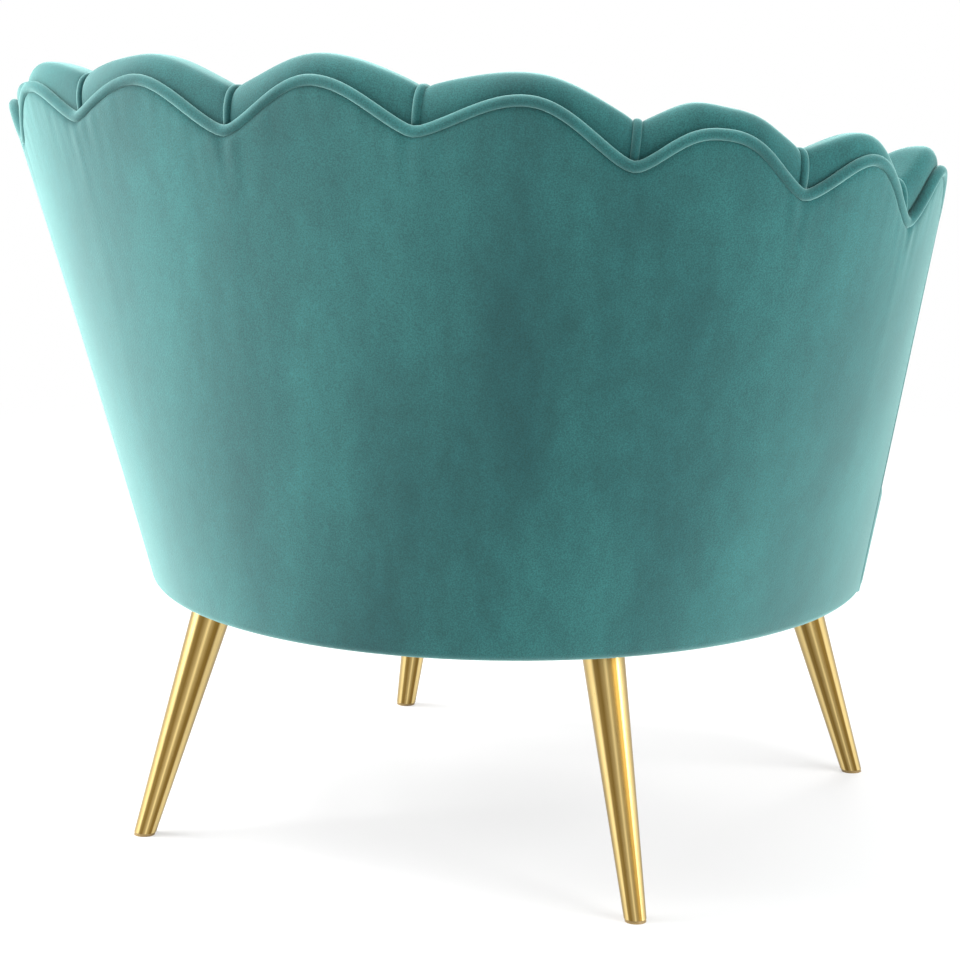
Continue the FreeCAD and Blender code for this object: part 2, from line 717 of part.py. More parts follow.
cushion_bottom = size("platform_top") + size("clearance")
cushion_edge = size("seat_height") - size("cushion_crown")
side_bottom = cushion_bottom + 2 * size("welt_radius")
side_top = cushion_edge - size("welt_radius")
cushion_levels = [(cushion_bottom, size("cushion_bulge"), 1.0)]
for step in range(CUSHION_STEPS + 1):
    share = step / CUSHION_STEPS
    cushion_levels.append((side_bottom + share * (side_top - side_bottom),
                           size("cushion_bulge") * (1 - math.sin(math.pi * share)), 1.0))
for step in range(CUSHION_STEPS + 1):
    turn = math.pi / 2 * step / CUSHION_STEPS
    cushion_levels.append((cushion_edge + size("cushion_crown") * math.sin(turn),
                           size("cushion_bulge"), 1 - CROWN_SPREAD * (1 - math.cos(turn))))
cushion_sections = [seat_outline(cushion_bottom, height, size("cushion_reach"), inset, scale)
                    for height, inset, scale in cushion_levels]
keep(solid_feature("seat_cushion", Part.makeLoft(cushion_sections, True, True)),
     "seat_cushion")


def cushion_welt(height):
    """A cord round the cushion at one of its seams."""
    outline = seat_outline(cushion_bottom, height, size("cushion_reach"),
                           size("cushion_bulge") - welt_reach - size("clearance"))
    points = []
    for edge in outline.OrderedEdges:
        count = max(2, round(edge.Length / size("cushion_welt_step")))
        points += edge.discretize(Number=count + 1)[:-1]
    return tube(points, size("welt_radius"), closed=True)


keep(solid_feature("cushion_welts", Part.makeCompound(
    [cushion_welt(cushion_bottom + size("welt_radius")), cushion_welt(cushion_edge)])),
    "cushion_welts")

doc.recompute()
for item in doc.Objects:
    if "Invalid" in item.State or "Error" in item.State:
        raise RuntimeError(f"{item.Name} did not build: {item.State}")
for name, piece in pieces.items():
    if piece.Shape.isNull() or not piece.Shape.isValid():
        raise RuntimeError(f"{name} has no valid shape")
    if not piece.Shape.Solids:
        raise RuntimeError(f"{name} holds no solid")

os.makedirs("parts", exist_ok=True)
for name, piece in pieces.items():
    piece.Shape.exportStep(f"parts/{name}.step")
    print(f"{name}: {len(piece.Shape.Solids)} solid, {piece.Shape.Volume / 1000:.1f} cm3")
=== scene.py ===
"""The looks of a scallop back armchair, built around its packed construction.

Lengths are metres. Z is up, the sitter faces -Y and the sitter's left is +X. The back and arms are
one ruled shell, from a round base to a wider oval, and a place on it is an angle from the middle of
the back, a depth inwards from the outer surface and a height above the floor.
"""
import logging
import math
from dataclasses import dataclass, field
from enum import Enum

import bmesh
import bpy
import numpy as np
from mathutils import Matrix, Vector


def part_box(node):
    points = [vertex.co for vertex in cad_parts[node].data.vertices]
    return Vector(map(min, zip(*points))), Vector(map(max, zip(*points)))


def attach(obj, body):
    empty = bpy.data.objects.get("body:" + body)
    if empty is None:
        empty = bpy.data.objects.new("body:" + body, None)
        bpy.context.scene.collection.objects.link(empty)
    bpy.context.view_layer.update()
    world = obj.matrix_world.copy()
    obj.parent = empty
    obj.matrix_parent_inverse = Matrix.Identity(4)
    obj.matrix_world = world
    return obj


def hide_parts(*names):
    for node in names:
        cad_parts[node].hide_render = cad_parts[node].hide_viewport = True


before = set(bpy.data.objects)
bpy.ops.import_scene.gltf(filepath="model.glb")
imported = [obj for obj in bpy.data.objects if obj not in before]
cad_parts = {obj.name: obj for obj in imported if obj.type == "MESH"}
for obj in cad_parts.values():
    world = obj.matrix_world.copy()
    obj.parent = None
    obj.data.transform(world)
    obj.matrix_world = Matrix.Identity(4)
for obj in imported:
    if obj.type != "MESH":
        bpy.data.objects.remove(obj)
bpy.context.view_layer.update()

LOG = logging.getLogger("scallop_back_chair")
BODY = "root"
UP = np.array((0.0, 0.0, 1.0))
WHITE = (1.0, 1.0, 1.0, 1.0)
SWELL_FRAMES = 20
CLOTH_SETTINGS = {"quality": 6, "mass": 0.2, "tension_stiffness": 12.0,
                  "compression_stiffness": 12.0, "shear_stiffness": 6.0,
                  "bending_stiffness": 0.6, "use_pressure": True}
MIRROR = np.array((-1, 1, 1))
TUCK = 0.012
EDGE_STEPS = 6
SEAM_ANGLE = 0.05
PAD_LIFT = 0.001

Point = np.ndarray
Color = tuple[float, float, float]
Place = tuple[float, float, float]
Material = bpy.types.Material
Tree = bpy.types.NodeTree
Socket = bpy.types.NodeSocket
Piece = bpy.types.Object
Spots = list[tuple[float, float]]
Faces = list[tuple[int, ...]]


class Slot(Enum):
    """The record's material slots, passed with new pieces, which get their materials directly."""

    VELVET = "velvet"
    FOAM = "foam"
    WEBBING = "webbing"
    DUST_CLOTH = "dust_cloth"


class Corner(Enum):
    """The four corners of the chair, as a sitter names them."""

    FRONT_LEFT = "front_left"
    FRONT_RIGHT = "front_right"
    REAR_LEFT = "rear_left"
    REAR_RIGHT = "rear_right"


# Finishes


def new_material(name: str) -> tuple[Material, Tree, bpy.types.Node]:
    """Make an empty node material, with its node tree and its main shader."""
    material = bpy.data.materials.new(name)
    material.use_nodes = True
    tree = material.node_tree
    return material, tree, tree.nodes["Principled BSDF"]


def feed(tree: Tree, node: bpy.types.Node, inputs: dict[str | int, object]) -> None:
    """Give a node its inputs.

    Args:
        tree: the node tree that it is in.
        node: the node.
        inputs: what each input gets: a socket is linked, and a constant is set on the input.
    """
    for spot, value in inputs.items():
        if isinstance(value, Socket):
            tree.links.new(value, node.inputs[spot])
        else:
            node.inputs[spot].default_value = value


def add_node(tree: Tree, kind: str, inputs: dict[str | int, object],
             **settings: object) -> bpy.types.Node:
    """Add a node.

    Args:
        tree: the node tree to add to.
        kind: the type of the node, without the words ShaderNode.
        inputs: what each input gets, as in feed.
        settings: the node's own properties.

    Returns:
        The node.
    """
    node = tree.nodes.new(f"ShaderNode{kind}")
    for name, value in settings.items():
        setattr(node, name, value)
    feed(tree, node, inputs)
    return node


def worked_out(tree: Tree, operation: str, *values: float | Socket) -> Socket:
    """Work out a number from other numbers or sockets."""
    return add_node(tree, "Math", dict(enumerate(values)), operation=operation).outputs["Value"]


def own_space(tree: Tree, inputs: dict[str | int, object], **settings: object) -> Socket:
    """Coordinates in the object's own space.

    Args:
        tree: the node tree to add to.
        inputs: the inputs of the mapping.
        settings: the mapping's own properties.

    Returns:
        The mapped coordinates.
    """
    place = add_node(tree, "TexCoord", {}).outputs["Object"]
    return add_node(tree, "Mapping", {"Vector": place, **inputs}, **settings).outputs["Vector"]


@dataclass(frozen=True)
class Noise:
    """A noise: its cells for each metre, its finer octaves and the scale of each axis."""

    scale: float
    detail: float = 3.0
    stretch: Place = (1.0, 1.0, 1.0)

    def build(self, tree: Tree, space: Socket | None = None) -> Socket:
        """Add the noise.

        Args:
            tree: the node tree to add to.
            space: its coordinates, or nothing for the object's own space.

        Returns:
            Its factor.
        """
        space = space or own_space(tree, {"Scale": self.stretch})
        inputs = {"Vector": space, "Scale": self.scale, "Detail": self.detail}
        return add_node(tree, "TexNoise", inputs).outputs["Fac"]


def color_ramp(tree: Tree, factor: Socket, *stops: tuple[float, Color]) -> Socket:
    """Turn a factor into colours.

    Args:
        tree: the node tree to add to.
        factor: the socket that drives the ramp.
        stops: places from 0 to 1, each with its colour.

    Returns:
        The ramp's colour.
    """
    ramp = add_node(tree, "ValToRGB", {"Fac": factor})
    elements = ramp.color_ramp.elements
    while len(elements) < len(stops):
        elements.new(0.5)
    for element, (place, color) in zip(elements, stops):
        element.position = place
        element.color = (*color, 1.0)
    return ramp.outputs["Color"]


def multiplied(tree: Tree, first: Socket, second: Socket) -> Socket:
    """Multiply two colours."""
    return add_node(tree, "Mix", {"Factor": 1.0, "A": first, "B": second}, data_type="RGBA",
                    blend_type="MULTIPLY").outputs["Result"]


def bumped(tree: Tree, shader: bpy.types.Node, height: Socket, strength: float,
           distance: float) -> None:
    """Roughen a shader's surface.

    Args:
        tree: the node tree to add to.
        shader: the shader to roughen.
        height: the socket that gives the height.
        strength: how much of the bump shows.
        distance: the height of a bump, in metres.
    """
    bump = add_node(tree, "Bump", {"Strength": strength, "Distance": distance, "Height": height})
    tree.links.new(bump.outputs["Normal"], shader.inputs["Normal"])


def grey(value: float) -> Color:
    """A grey of one value."""
    return (value, value, value)


@dataclass(frozen=True)
class VelvetFinish:
    """Cut pile that is dark where it is seen end on and pale where it is seen from the side."""

    name: str = "teal_velvet"
    shade: Color = (0.008, 0.080, 0.083)
    light: Color = (0.020, 0.138, 0.136)
    sheen_tint: Color = (0.52, 0.86, 0.83)
    sheen: float = 0.78
    sheen_roughness: float = 0.52
    roughness: float = 0.85
    gloss: float = 0.15
    patches: Noise = Noise(9.0, 3.0, (1.0, 1.0, 0.35))
    mottle: Noise = Noise(60.0, 5.0, (1.0, 1.0, 0.6))
    grain: Noise = Noise(800.0, 2.0)
    pile: Noise = Noise(620.0)
    pile_strength: float = 0.45
    pile_height: float = 0.0005

    def build(self) -> Material:
        """Make the material: brushed patches, a fine mottle and the grain of the pile."""
        material, tree, shader = new_material(self.name)
        patches = color_ramp(tree, self.patches.build(tree), (0.34, self.shade), (0.66, self.light))
        mottle = color_ramp(tree, self.mottle.build(tree), (0.30, grey(0.80)), (0.70, grey(1.0)))
        grain = color_ramp(tree, self.grain.build(tree), (0.36, grey(0.62)), (0.64, grey(1.0)))
        feed(tree, shader, {
            "Base Color": multiplied(tree, multiplied(tree, patches, mottle), grain),
            "Roughness": self.roughness, "Specular IOR Level": self.gloss,
            "Sheen Weight": self.sheen, "Sheen Roughness": self.sheen_roughness,
            "Sheen Tint": (*self.sheen_tint, 1.0)})
        bumped(tree, shader, self.pile.build(tree), self.pile_strength, self.pile_height)
        return material


@dataclass(frozen=True)
class BrassFinish:
    """Satin brass with painted reflections: soft light and dark stripes painted along a leg."""

    name: str
    foot: Place
    top: Place
    # pale and deep are the brightest and darkest brass of the painted reflections; side is the
    # level direction towards the camera that they are laid out from.
    pale: Color = (0.84, 0.64, 0.27)
    deep: Color = (0.205, 0.122, 0.026)
    side: Place = (-0.46, 0.89, 0.0)
    marks: Noise = Noise(1500.0)
    mark_length: float = 60.0
    mark_strength: float = 0.10
    mark_height: float = 0.0001
    # Painted reflections: places round the leg, each with its share from deep to pale brass.
    painted_reflection_bands: tuple[tuple[float, float], ...] = (
        (0.0, 0.2), (0.16, 0.4), (0.26, 1.0), (0.29, 1.0), (0.33, 0.1), (0.40, 0.0), (0.48, 0.35),
        (0.515, 0.9), (0.55, 0.3), (0.62, 0.0), (0.68, 0.0), (0.72, 0.95), (0.79, 1.0),
        (0.88, 0.25), (1.0, 0.2))

    def leg_space(self, tree: Tree, length: float) -> Socket:
        """Coordinates round and along the leg.

        Args:
            tree: the node tree to add to.
            length: how much the space is drawn out along the leg.

        Returns:
            The coordinates, from the foot, with the leg as their Z axis.
        """
        axis = (Vector(self.top) - Vector(self.foot)).normalized()
        across = axis.cross(Vector(self.side)).normalized()
        turn = Matrix((across.cross(axis), across, axis)).transposed()
        return own_space(tree, {"Location": self.foot, "Rotation": turn.to_euler(),
                                "Scale": (1.0, 1.0, length)}, vector_type="TEXTURE")

    def round_leg(self, tree: Tree) -> Socket:
        """A factor that goes from 0 to 1 twice round the leg."""
        radial = add_node(tree, "TexGradient", {"Vector": self.leg_space(tree, 1.0)},
                          gradient_type="RADIAL")
        twice = worked_out(tree, "MULTIPLY_ADD", radial.outputs["Fac"], 2.0, 0.5)
        return worked_out(tree, "FRACT", twice)

    def build(self) -> Material:
        """Make the material: painted reflection stripes and fine brush marks, both along the leg.
        """
        material, tree, shader = new_material(self.name)
        # Painted reflections: stripes of light and dark brass, repeated twice round the leg.
        stops = [(place, tuple(low + (high - low) * share for low, high in
                               zip(self.deep, self.pale))) for place, share in self.painted_reflection_bands]
        painted_reflections = color_ramp(tree, self.round_leg(tree), *stops)
        marks = self.marks.build(tree, self.leg_space(tree, self.mark_length))
        shading = color_ramp(tree, marks, (0.3, grey(0.90)), (0.7, grey(1.0)))
        gloss = color_ramp(tree, marks, (0.2, grey(0.26)), (0.8, grey(0.34)))
        feed(tree, shader, {"Base Color": multiplied(tree, painted_reflections, shading), "Roughness": gloss,
                            "Metallic": 1.0})
        bumped(tree, shader, marks, self.mark_strength, self.mark_height)
        return material


@dataclass(frozen=True)
class PlywoodFinish:
    """Bare plywood with a long grain."""

    name: str = "bare_plywood"
    pale: Color = (0.62, 0.44, 0.25)
    dark: Color = (0.40, 0.25, 0.12)
    grain: Noise = Noise(40.0, 6.0, (0.12, 1.0, 1.6))

    def build(self) -> Material:
        """Make the material, with its grain across the chair."""
        material, tree, shader = new_material(self.name)
        grain = self.grain.build(tree)
        tint = color_ramp(tree, grain, (0.3, self.dark), (0.7, self.pale))
        feed(tree, shader, {"Base Color": tint, "Roughness": 0.62})
        bumped(tree, shader, grain, 0.3, 0.0005)
        return material


@dataclass(frozen=True)
class WovenFinish:
    """A plain woven cloth, for the webbing, the seat's lining and the dust cover."""

    name: str
    color: Color
    threads: float = 900.0
    lift: float = 2.2

    def build(self) -> Material:
        """Make the material from two crossed sets of threads."""
        material, tree, shader = new_material(self.name)
        along, across = (Noise(self.threads, 1.0, stretch).build(tree)
                         for stretch in ((1.0, 0.05, 1.0), (0.05, 1.0, 1.0)))
        weave = multiplied(tree, along, across)
        lighter = tuple(min(1.0, channel * self.lift) for channel in self.color)
        tint = color_ramp(tree, weave, (0.1, self.color), (0.5, lighter))
        feed(tree, shader, {"Base Color": tint, "Roughness": 0.9})
        bumped(tree, shader, weave, 0.5, 0.0005)
        return material


@dataclass(frozen=True)
class PlainFinish:
    """A smooth metal or plastic with a faint unevenness."""

    name: str
    color: Color
    metallic: float
    roughness: float
    shade: float = 0.82
    spread: float = 0.15
    cloud: Noise = Noise(90.0, 4.0)

    def build(self) -> Material:
        """Make the material, a little uneven in colour and gloss."""
        material, tree, shader = new_material(self.name)
        cloud = self.cloud.build(tree)
        darker = tuple(channel * self.shade for channel in self.color)
        tint = color_ramp(tree, cloud, (0.3, darker), (0.7, self.color))
        gloss = color_ramp(tree, cloud, (0.3, grey(self.roughness * (1 - self.spread))),
                           (0.7, grey(self.roughness * (1 + self.spread))))
        feed(tree, shader, {"Base Color": tint, "Roughness": gloss, "Metallic": self.metallic})
        return material


# Meshes


def mesh_piece(name: str, points: np.ndarray, faces: Faces, material: Material,
               smooth: bool = True) -> Piece:
    """Make an object from points and faces, with its normals outwards.

    Args:
        name: the object's name.
        points: its corners, one row each.
        faces: corner numbers of each face.
        material: its finish.
        smooth: whether its faces are shaded as one curve.

    Returns:
        The object, in the scene.
    """
    mesh = bpy.data.meshes.new(name)
    mesh.from_pydata([tuple(map(float, point)) for point in points], [], faces)
    work = bmesh.new()
    work.from_mesh(mesh)
    bmesh.ops.recalc_face_normals(work, faces=work.faces)
    work.to_mesh(mesh)
    work.free()
    mesh.polygons.foreach_set("use_smooth", [smooth] * len(mesh.polygons))
    mesh.materials.append(material)
    piece = bpy.data.objects.new(name, mesh)
    bpy.context.scene.collection.objects.link(piece)
    return piece


def loop_faces(rings: int, around: int, closed: bool = False, cap: bool = True,
               start: int = 0) -> Faces:
    """Faces between rings of points.

    Args:
        rings: how many rings there are.
        around: points in each ring.
        closed: whether the last ring joins the first.
        cap: whether the two ends are closed.
        start: number of the first point.

    Returns:
        The faces, four corners each apart from the caps.
    """
    faces: Faces = []
    for ring in range(rings if closed else rings - 1):
        low = start + ring * around
        high = start + ((ring + 1) % rings) * around
        for spot in range(around):
            after = (spot + 1) % around
            faces.append((low + spot, low + after, high + after, high + spot))
    if cap and not closed:
        faces.append(tuple(start + spot for spot in range(around)))
        last = start + (rings - 1) * around
        faces.append(tuple(last + spot for spot in reversed(range(around))))
    return faces


def unit(vector: Point) -> Point:
    """The direction of a vector."""
    return vector / np.linalg.norm(vector)


def cord_rings(path: np.ndarray, radius: float, sides: int, closed: bool = False) -> np.ndarray:
    """Rings of a cord that is mitred at its corners.

    Args:
        path: the points of its middle line.
        radius: the cord's radius.
        sides: points in each ring.
        closed: whether the path joins up.

    Returns:
        The rings' points, in order.
    """
    count = len(path)
    across = None
    rings = []
    turns = np.arange(sides) * 2 * math.pi / sides
    for index, point in enumerate(path):
        before = path[index - 1] if closed or index else None
        after = path[(index + 1) % count] if closed or index < count - 1 else None
        leaving = unit(after - point) if after is not None else unit(point - before)
        arriving = unit(point - before) if before is not None else leaving
        plane = unit(arriving + leaving)
        if across is None:
            helper = UP if abs(arriving[2]) < 0.9 else np.array((1.0, 0.0, 0.0))
            across = np.cross(arriving, helper)
        across = unit(across - arriving * np.dot(across, arriving))
        upright = np.cross(arriving, across)
        ring = (np.outer(np.cos(turns), across) + np.outer(np.sin(turns), upright)) * radius
        slide = ring @ plane / np.dot(arriving, plane)
        rings.append(point + ring - np.outer(slide, arriving))
    return np.concatenate(rings)


def cord_piece(name: str, paths: list[np.ndarray], radius: float, material: Material,
               closed: bool = False, sides: int = 14) -> Piece:
    """Make covered cords that share one object.

    Args:
        name: the object's name.
        paths: the middle line of each cord.
        radius: the cords' radius.
        material: their finish.
        closed: whether each path joins up.
        sides: points round a cord.

    Returns:
        The object.
    """
    faces: Faces = []
    start = 0
    for path in paths:
        faces += loop_faces(len(path), sides, closed, start=start)
        start += len(path) * sides
    rings = [cord_rings(path, radius, sides, closed) for path in paths]
    return mesh_piece(name, np.concatenate(rings), faces, material)


def dressed(piece: Piece, slot: Slot, *nodes: str) -> None:
    """Let a piece ride on the chair and stand for nodes.

    Args:
        piece: the new piece.
        slot: the record's slot for its finish; not used.
        nodes: the construction nodes that it stands for.
    """
    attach(piece, BODY)
    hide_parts(*nodes)
    LOG.info("%s stands for %s", piece.name, ", ".join(nodes))


# The shell's form


@dataclass(frozen=True)
class ShellForm:
    """The ruled shell of the back and arms, and the scallops along its rim."""

    base_radius: float = 0.359
    base_center_y: float = -0.015
    bottom: float = 0.248
    oval_height: float = 0.714
    oval_half_width: float = 0.489
    oval_fullness: float = 0.014
    oval_half_depth: float = 0.297
    oval_center_y: float = 0.078
    back_crown: float = 0.7795
    arm_crown: float = 0.6774
    crown_fall: float = 1.5
    scallop_depth: float = 0.0436
    scallop_roundness: float = 0.47
    valley_softness: float = 0.08
    valleys: tuple[float, float, float, float] = (11.2, 35.6, 58.5, 81.9)
    arm_end: float = 103.2
    welt_radius: float = 0.0045
    clearance: float = 0.0003
    pad_back: float = 0.0162
    pad_thickness: float = 0.068
    pad_foot_thickness: float = 0.050
    pad_pinch: float = 0.014
    crest_depth: float = 0.026
    pad_rise: float = 0.0225
    valley_rise: float = 0.0195
    ring_top: float = 0.335
    platform_top: float = 0.352
    apron_flare: float = 0.006
    post_width: float = 0.018
    hand_sewn: tuple[tuple[float, float], ...] = (
        (-103.2, 0.002), (-94.5, 0.005), (-81.9, -0.005), (-70.2, 0.0), (-58.5, 0.0),
        (-53.0, -0.001), (-47.0, -0.004), (-41.0, 0.003), (-35.6, -0.002), (-23.4, -0.001),
        (-11.2, 0.0045), (0.0, 0.0),
        (11.2, -0.006), (24.0, -0.0025), (35.6, 0.010), (47.0, 0.0015), (58.5, 0.001),
        (81.9, 0.0), (103.2, 0.0))

    @property
    def edges(self) -> list[float]:
        """Angles of the channels' seams, from the right arm round the back to the left arm."""
        return ([-self.arm_end] + [-angle for angle in reversed(self.valleys)]
                + list(self.valleys) + [self.arm_end])

    @property
    def channels(self) -> list[tuple[float, float]]:
        """The channels' seams in pairs, from the left arm to the right arm."""
        return list(reversed(list(zip(self.edges[:-1], self.edges[1:]))))

    def round_rim(self, steps: int) -> Spots:
        """Angles from the right arm to the left arm, each with its place in its scallop."""
        places = [2 * step / steps - 1 for step in range(steps)]
        return [((low + high) / 2 + place * (high - low) / 2, place)
                for low, high in reversed(self.channels) for place in places]

    @property
    def lip(self) -> float:
        """Depth at which a pad starts, beside the welt."""
        return 2 * self.welt_radius + self.clearance

    @property
    def post_reach(self) -> float:
        """How far behind the arm's end its post reaches."""
        return self.welt_radius + 2 * self.clearance + self.post_width

    def arm_angle(self, distance: float) -> float:
        """The angle that lies a distance in front of the arm's end, measured on the oval."""
        degree = self.oval_point(self.arm_end + 1) - self.oval_point(self.arm_end)
        return self.arm_end + distance / float(np.linalg.norm(degree))

    def base_point(self, angle: float) -> Point:
        """A point of the base circle."""
        turn = math.radians(angle)
        return np.array((self.base_radius * math.sin(turn),
                         self.base_center_y + self.base_radius * math.cos(turn), self.bottom))

    def oval_point(self, angle: float) -> Point:
        """A point of the oval."""
        turn = math.radians(angle)
        half_width = self.oval_half_width + self.oval_fullness * math.cos(turn)
        return np.array((half_width * math.sin(turn),
                         self.oval_center_y + self.oval_half_depth * math.cos(turn),
                         self.oval_height))

    def inward(self, angle: float) -> Point:
        """The level direction into the chair."""
        turn = math.radians(angle)
        half_width = (self.base_radius + self.oval_half_width) / 2
        half_depth = (self.base_radius + self.oval_half_depth) / 2
        return unit(np.array((-half_depth * math.sin(turn), -half_width * math.cos(turn), 0.0)))

    def wall(self, angle: float, depth: float, height: float) -> Point:
        """A place on the shell."""
        low, high = self.base_point(angle), self.oval_point(angle)
        share = (height - low[2]) / (high[2] - low[2])
        return low + (high - low) * share + self.inward(angle) * depth

    def line(self, angle: float, spots: Spots) -> np.ndarray:
        """The points of depths and heights at one angle."""
        return np.array([self.wall(angle, *spot) for spot in spots])

    def scallop(self, place: float) -> float:
        """How far a scallop has fallen, 0 at its crest and 1 at its valleys."""
        soft = self.valley_softness
        away = (math.hypot(1 - abs(place), soft) - soft) / (math.hypot(1, soft) - soft)
        wave = (1 + math.cos(math.pi * away)) / 2
        return self.scallop_roundness * wave + (1 - self.scallop_roundness) * (1 - away) ** 2

    def sewing(self, angle: float) -> float:
        """How far the hand-sewn rim strays from the drawn one."""
        for (first, low), (last, high) in zip(self.hand_sewn[:-1], self.hand_sewn[1:]):
            if first <= angle <= last:
                share = (1 - math.cos(math.pi * (angle - first) / (last - first))) / 2
                return low + (high - low) * share
        return 0.0

    def rim(self, angle: float, place: float) -> float:
        """Height of the welt's middle line."""
        fall = (1 + math.cos(math.radians(self.crown_fall * angle))) / 2
        crown = self.arm_crown + (self.back_crown - self.arm_crown) * fall
        return crown - self.scallop_depth * self.scallop(place) + self.sewing(angle)

    def front_arc(self, depth: float, height: float, count: int) -> np.ndarray:
        """Points of the front band, from the right arm round the front to the left arm.

        Args:
            depth: how far in from its outer surface.
            height: above the floor.
            count: how many points.

        Returns:
            The points of one arc through both arms' ends and the middle of the front.
        """
        angle = self.arm_angle(self.welt_radius + self.clearance)
        end = self.wall(angle, depth, height)
        lean = self.apron_flare * (height - self.bottom) / (self.platform_top - self.bottom)
        front_y = self.base_center_y - self.base_radius - lean + depth
        half_width, drop = end[0], end[1] - front_y
        radius = (half_width ** 2 + drop ** 2) / (2 * drop)
        center_y = front_y + radius
        reach = math.atan2(half_width, center_y - end[1])
        turns = np.linspace(-reach, reach, count)
        return np.stack((radius * np.sin(turns), center_y - radius * np.cos(turns),
                         np.full(count, height)), axis=1)


# Sub-assemblies


def quarter(count: int) -> np.ndarray:
    """Angles over a quarter turn."""
    return np.linspace(0, math.pi / 2, count)


def turned_edge(radius: float, bottom: float) -> Spots:
    """Depths and heights of a cover's tuck under the base and its turn, from the hidden edge."""
    return [(radius + TUCK, bottom)] + [
        (radius * (1 - math.sin(turn)), bottom + radius * (1 - math.cos(turn)))
        for turn in quarter(EDGE_STEPS)]


def sheet_piece(name: str, grid: np.ndarray, thickness: float, material: Material) -> Piece:
    """Make a sheet with its real thickness.

    Args:
        name: the object's name.
        grid: its points, in columns.
        thickness: how thick it is.
        material: its finish.

    Returns:
        The sheet.
    """
    count, height, _ = grid.shape
    faces = [(a * height + b, (a + 1) * height + b, (a + 1) * height + b + 1, a * height + b + 1)
             for a in range(count - 1) for b in range(height - 1)]
    piece = mesh_piece(name, grid.reshape(-1, 3), faces, material)
    thicken(piece, thickness)
    return piece


@dataclass
class OuterBack:
    """The smooth velvet outside of the back and arms, and the welt along its rim."""

    form: ShellForm
    velvet: Material
    columns_per_channel: int = 44
    rows: int = 56
    crowding: float = 1.8
    thickness: float = 0.0016
    bottom_radius: float = 0.007
    overlap: float = 0.9
    last_rise: float = 0.2
    end_inset: float = 0.8
    welt_steps: int = 30
    drop_steps: int = 24
    cord_radius: float = 0.0053
    cord_sides: int = 18
    wrinkle: float = 0.00035
    wrinkle_reach: float = 0.030
    wrinkle_start: float = 0.004
    even_pull: float = 0.35
    ripples: tuple[tuple[float, float, float], ...] = ((2.9, 40.0, 0.0), (1.7, -25.0, 1.3))
    groove: float = 0.0036
    groove_reach: float = 0.0035
    pucker: float = 0.0003
    pucker_turn: float = 2.1
    pucker_width: float = 4.2
    pucker_reach: float = 0.020
    pucker_start: float = 0.003
    ridge: float = 0.0003
    ridge_angle: float = 1.7
    ridge_growth: float = 1.5

    def pressed(self, angle: float, drop: float, share: float) -> float:
        """How far the cover lies in at a place, for its seam, its puckers and its ridges.

        Args:
            angle: the place's angle.
            drop: how far it lies below the welt.
            share: its height in the cover, from 0 to 1.

        Returns:
            The depth, below zero where the cover stands proud.
        """
        depth = self.groove * math.exp(-drop / self.groove_reach)
        for valley in self.form.edges[1:-1]:
            away = angle - valley
            folds = math.cos(self.pucker_turn * away) * math.exp(-(away / self.pucker_width) ** 2)
            depth += (self.pucker * folds * math.exp(-drop / self.pucker_reach)
                      * (1 - math.exp(-drop / self.pucker_start)))
            depth -= (self.ridge * math.exp(-(away / self.ridge_angle) ** 2)
                      * share ** self.ridge_growth)
        return depth

    def column(self, angle: float, place: float) -> np.ndarray:
        """Points of one upright line: the tuck under the base, the turn, then up to the welt.

        Args:
            angle: the line's angle.
            place: its place in its scallop.

        Returns:
            The points, from the hidden edge upwards.
        """
        form = self.form
        hidden = form.welt_radius * self.overlap
        spots = turned_edge(self.bottom_radius, form.bottom)
        low, high = spots[-1][1], form.rim(angle, place) - hidden
        for step in np.linspace(0, 1, self.rows)[1:]:
            share = 1 - (1 - step) ** self.crowding
            drop = (1 - share) * (high - low)
            ripple = sum(math.sin(angle * turn + fall * drop + shift)
                         for turn, fall, shift in self.ripples)
            pull = (math.exp(-drop / self.wrinkle_reach) * (self.even_pull + abs(place) ** 3)
                    * (1 - math.exp(-drop / self.wrinkle_start)))
            spots.append((self.wrinkle * pull * ripple + self.pressed(angle, drop, share),
                          low + share * (high - low)))
        spots.append((hidden, high + form.welt_radius * self.last_rise))
        return form.line(angle, spots)

    def build_cover(self) -> None:
        """Make the cover, with a column at each end just inside the welt."""
        form = self.form
        last_angle = form.arm_angle(-form.welt_radius * self.end_inset)
        low, high = form.edges[-2:]
        end_place = 2 * (last_angle - low) / (high - low) - 1
        columns = ([(-last_angle, -end_place)]
                   + [column for column in form.round_rim(self.columns_per_channel)
                      if abs(column[0]) < last_angle - SEAM_ANGLE]
                   + [(last_angle, end_place)])
        grid = np.array([self.column(*column) for column in columns])
        piece = sheet_piece("outer_back", grid, self.thickness, self.velvet)
        dressed(piece, Slot.VELVET, "outer_back_cover", "outer_padding")

    def welt_path(self) -> np.ndarray:
        """Middle line of the welt: up one arm front, along the scallops and down the other."""
        form = self.form
        path = [form.wall(angle, form.welt_radius, form.rim(angle, place))
                for angle, place in form.round_rim(self.welt_steps)]
        levels = np.linspace(form.rim(form.arm_end, 1.0), form.bottom + form.welt_radius,
                             self.drop_steps)
        drop = [form.wall(form.arm_end, form.welt_radius, level) for level in levels]
        other = [point * MIRROR for point in drop[1:]]
        return np.array(list(reversed(other)) + path + drop)

    def build(self) -> None:
        """Make the cover and its welt."""
        self.build_cover()
        welt = cord_piece("rim_welt_cord", [self.welt_path()], self.cord_radius, self.velvet,
                          sides=self.cord_sides)
        dressed(welt, Slot.VELVET, "rim_welt")


def thicken(piece: Piece, thickness: float) -> None:
    """Give an open sheet its real thickness, inwards."""
    solid = piece.modifiers.new("thickness", "SOLIDIFY")
    solid.thickness = thickness
    solid.offset = -1.0
    apply_modifiers(piece)


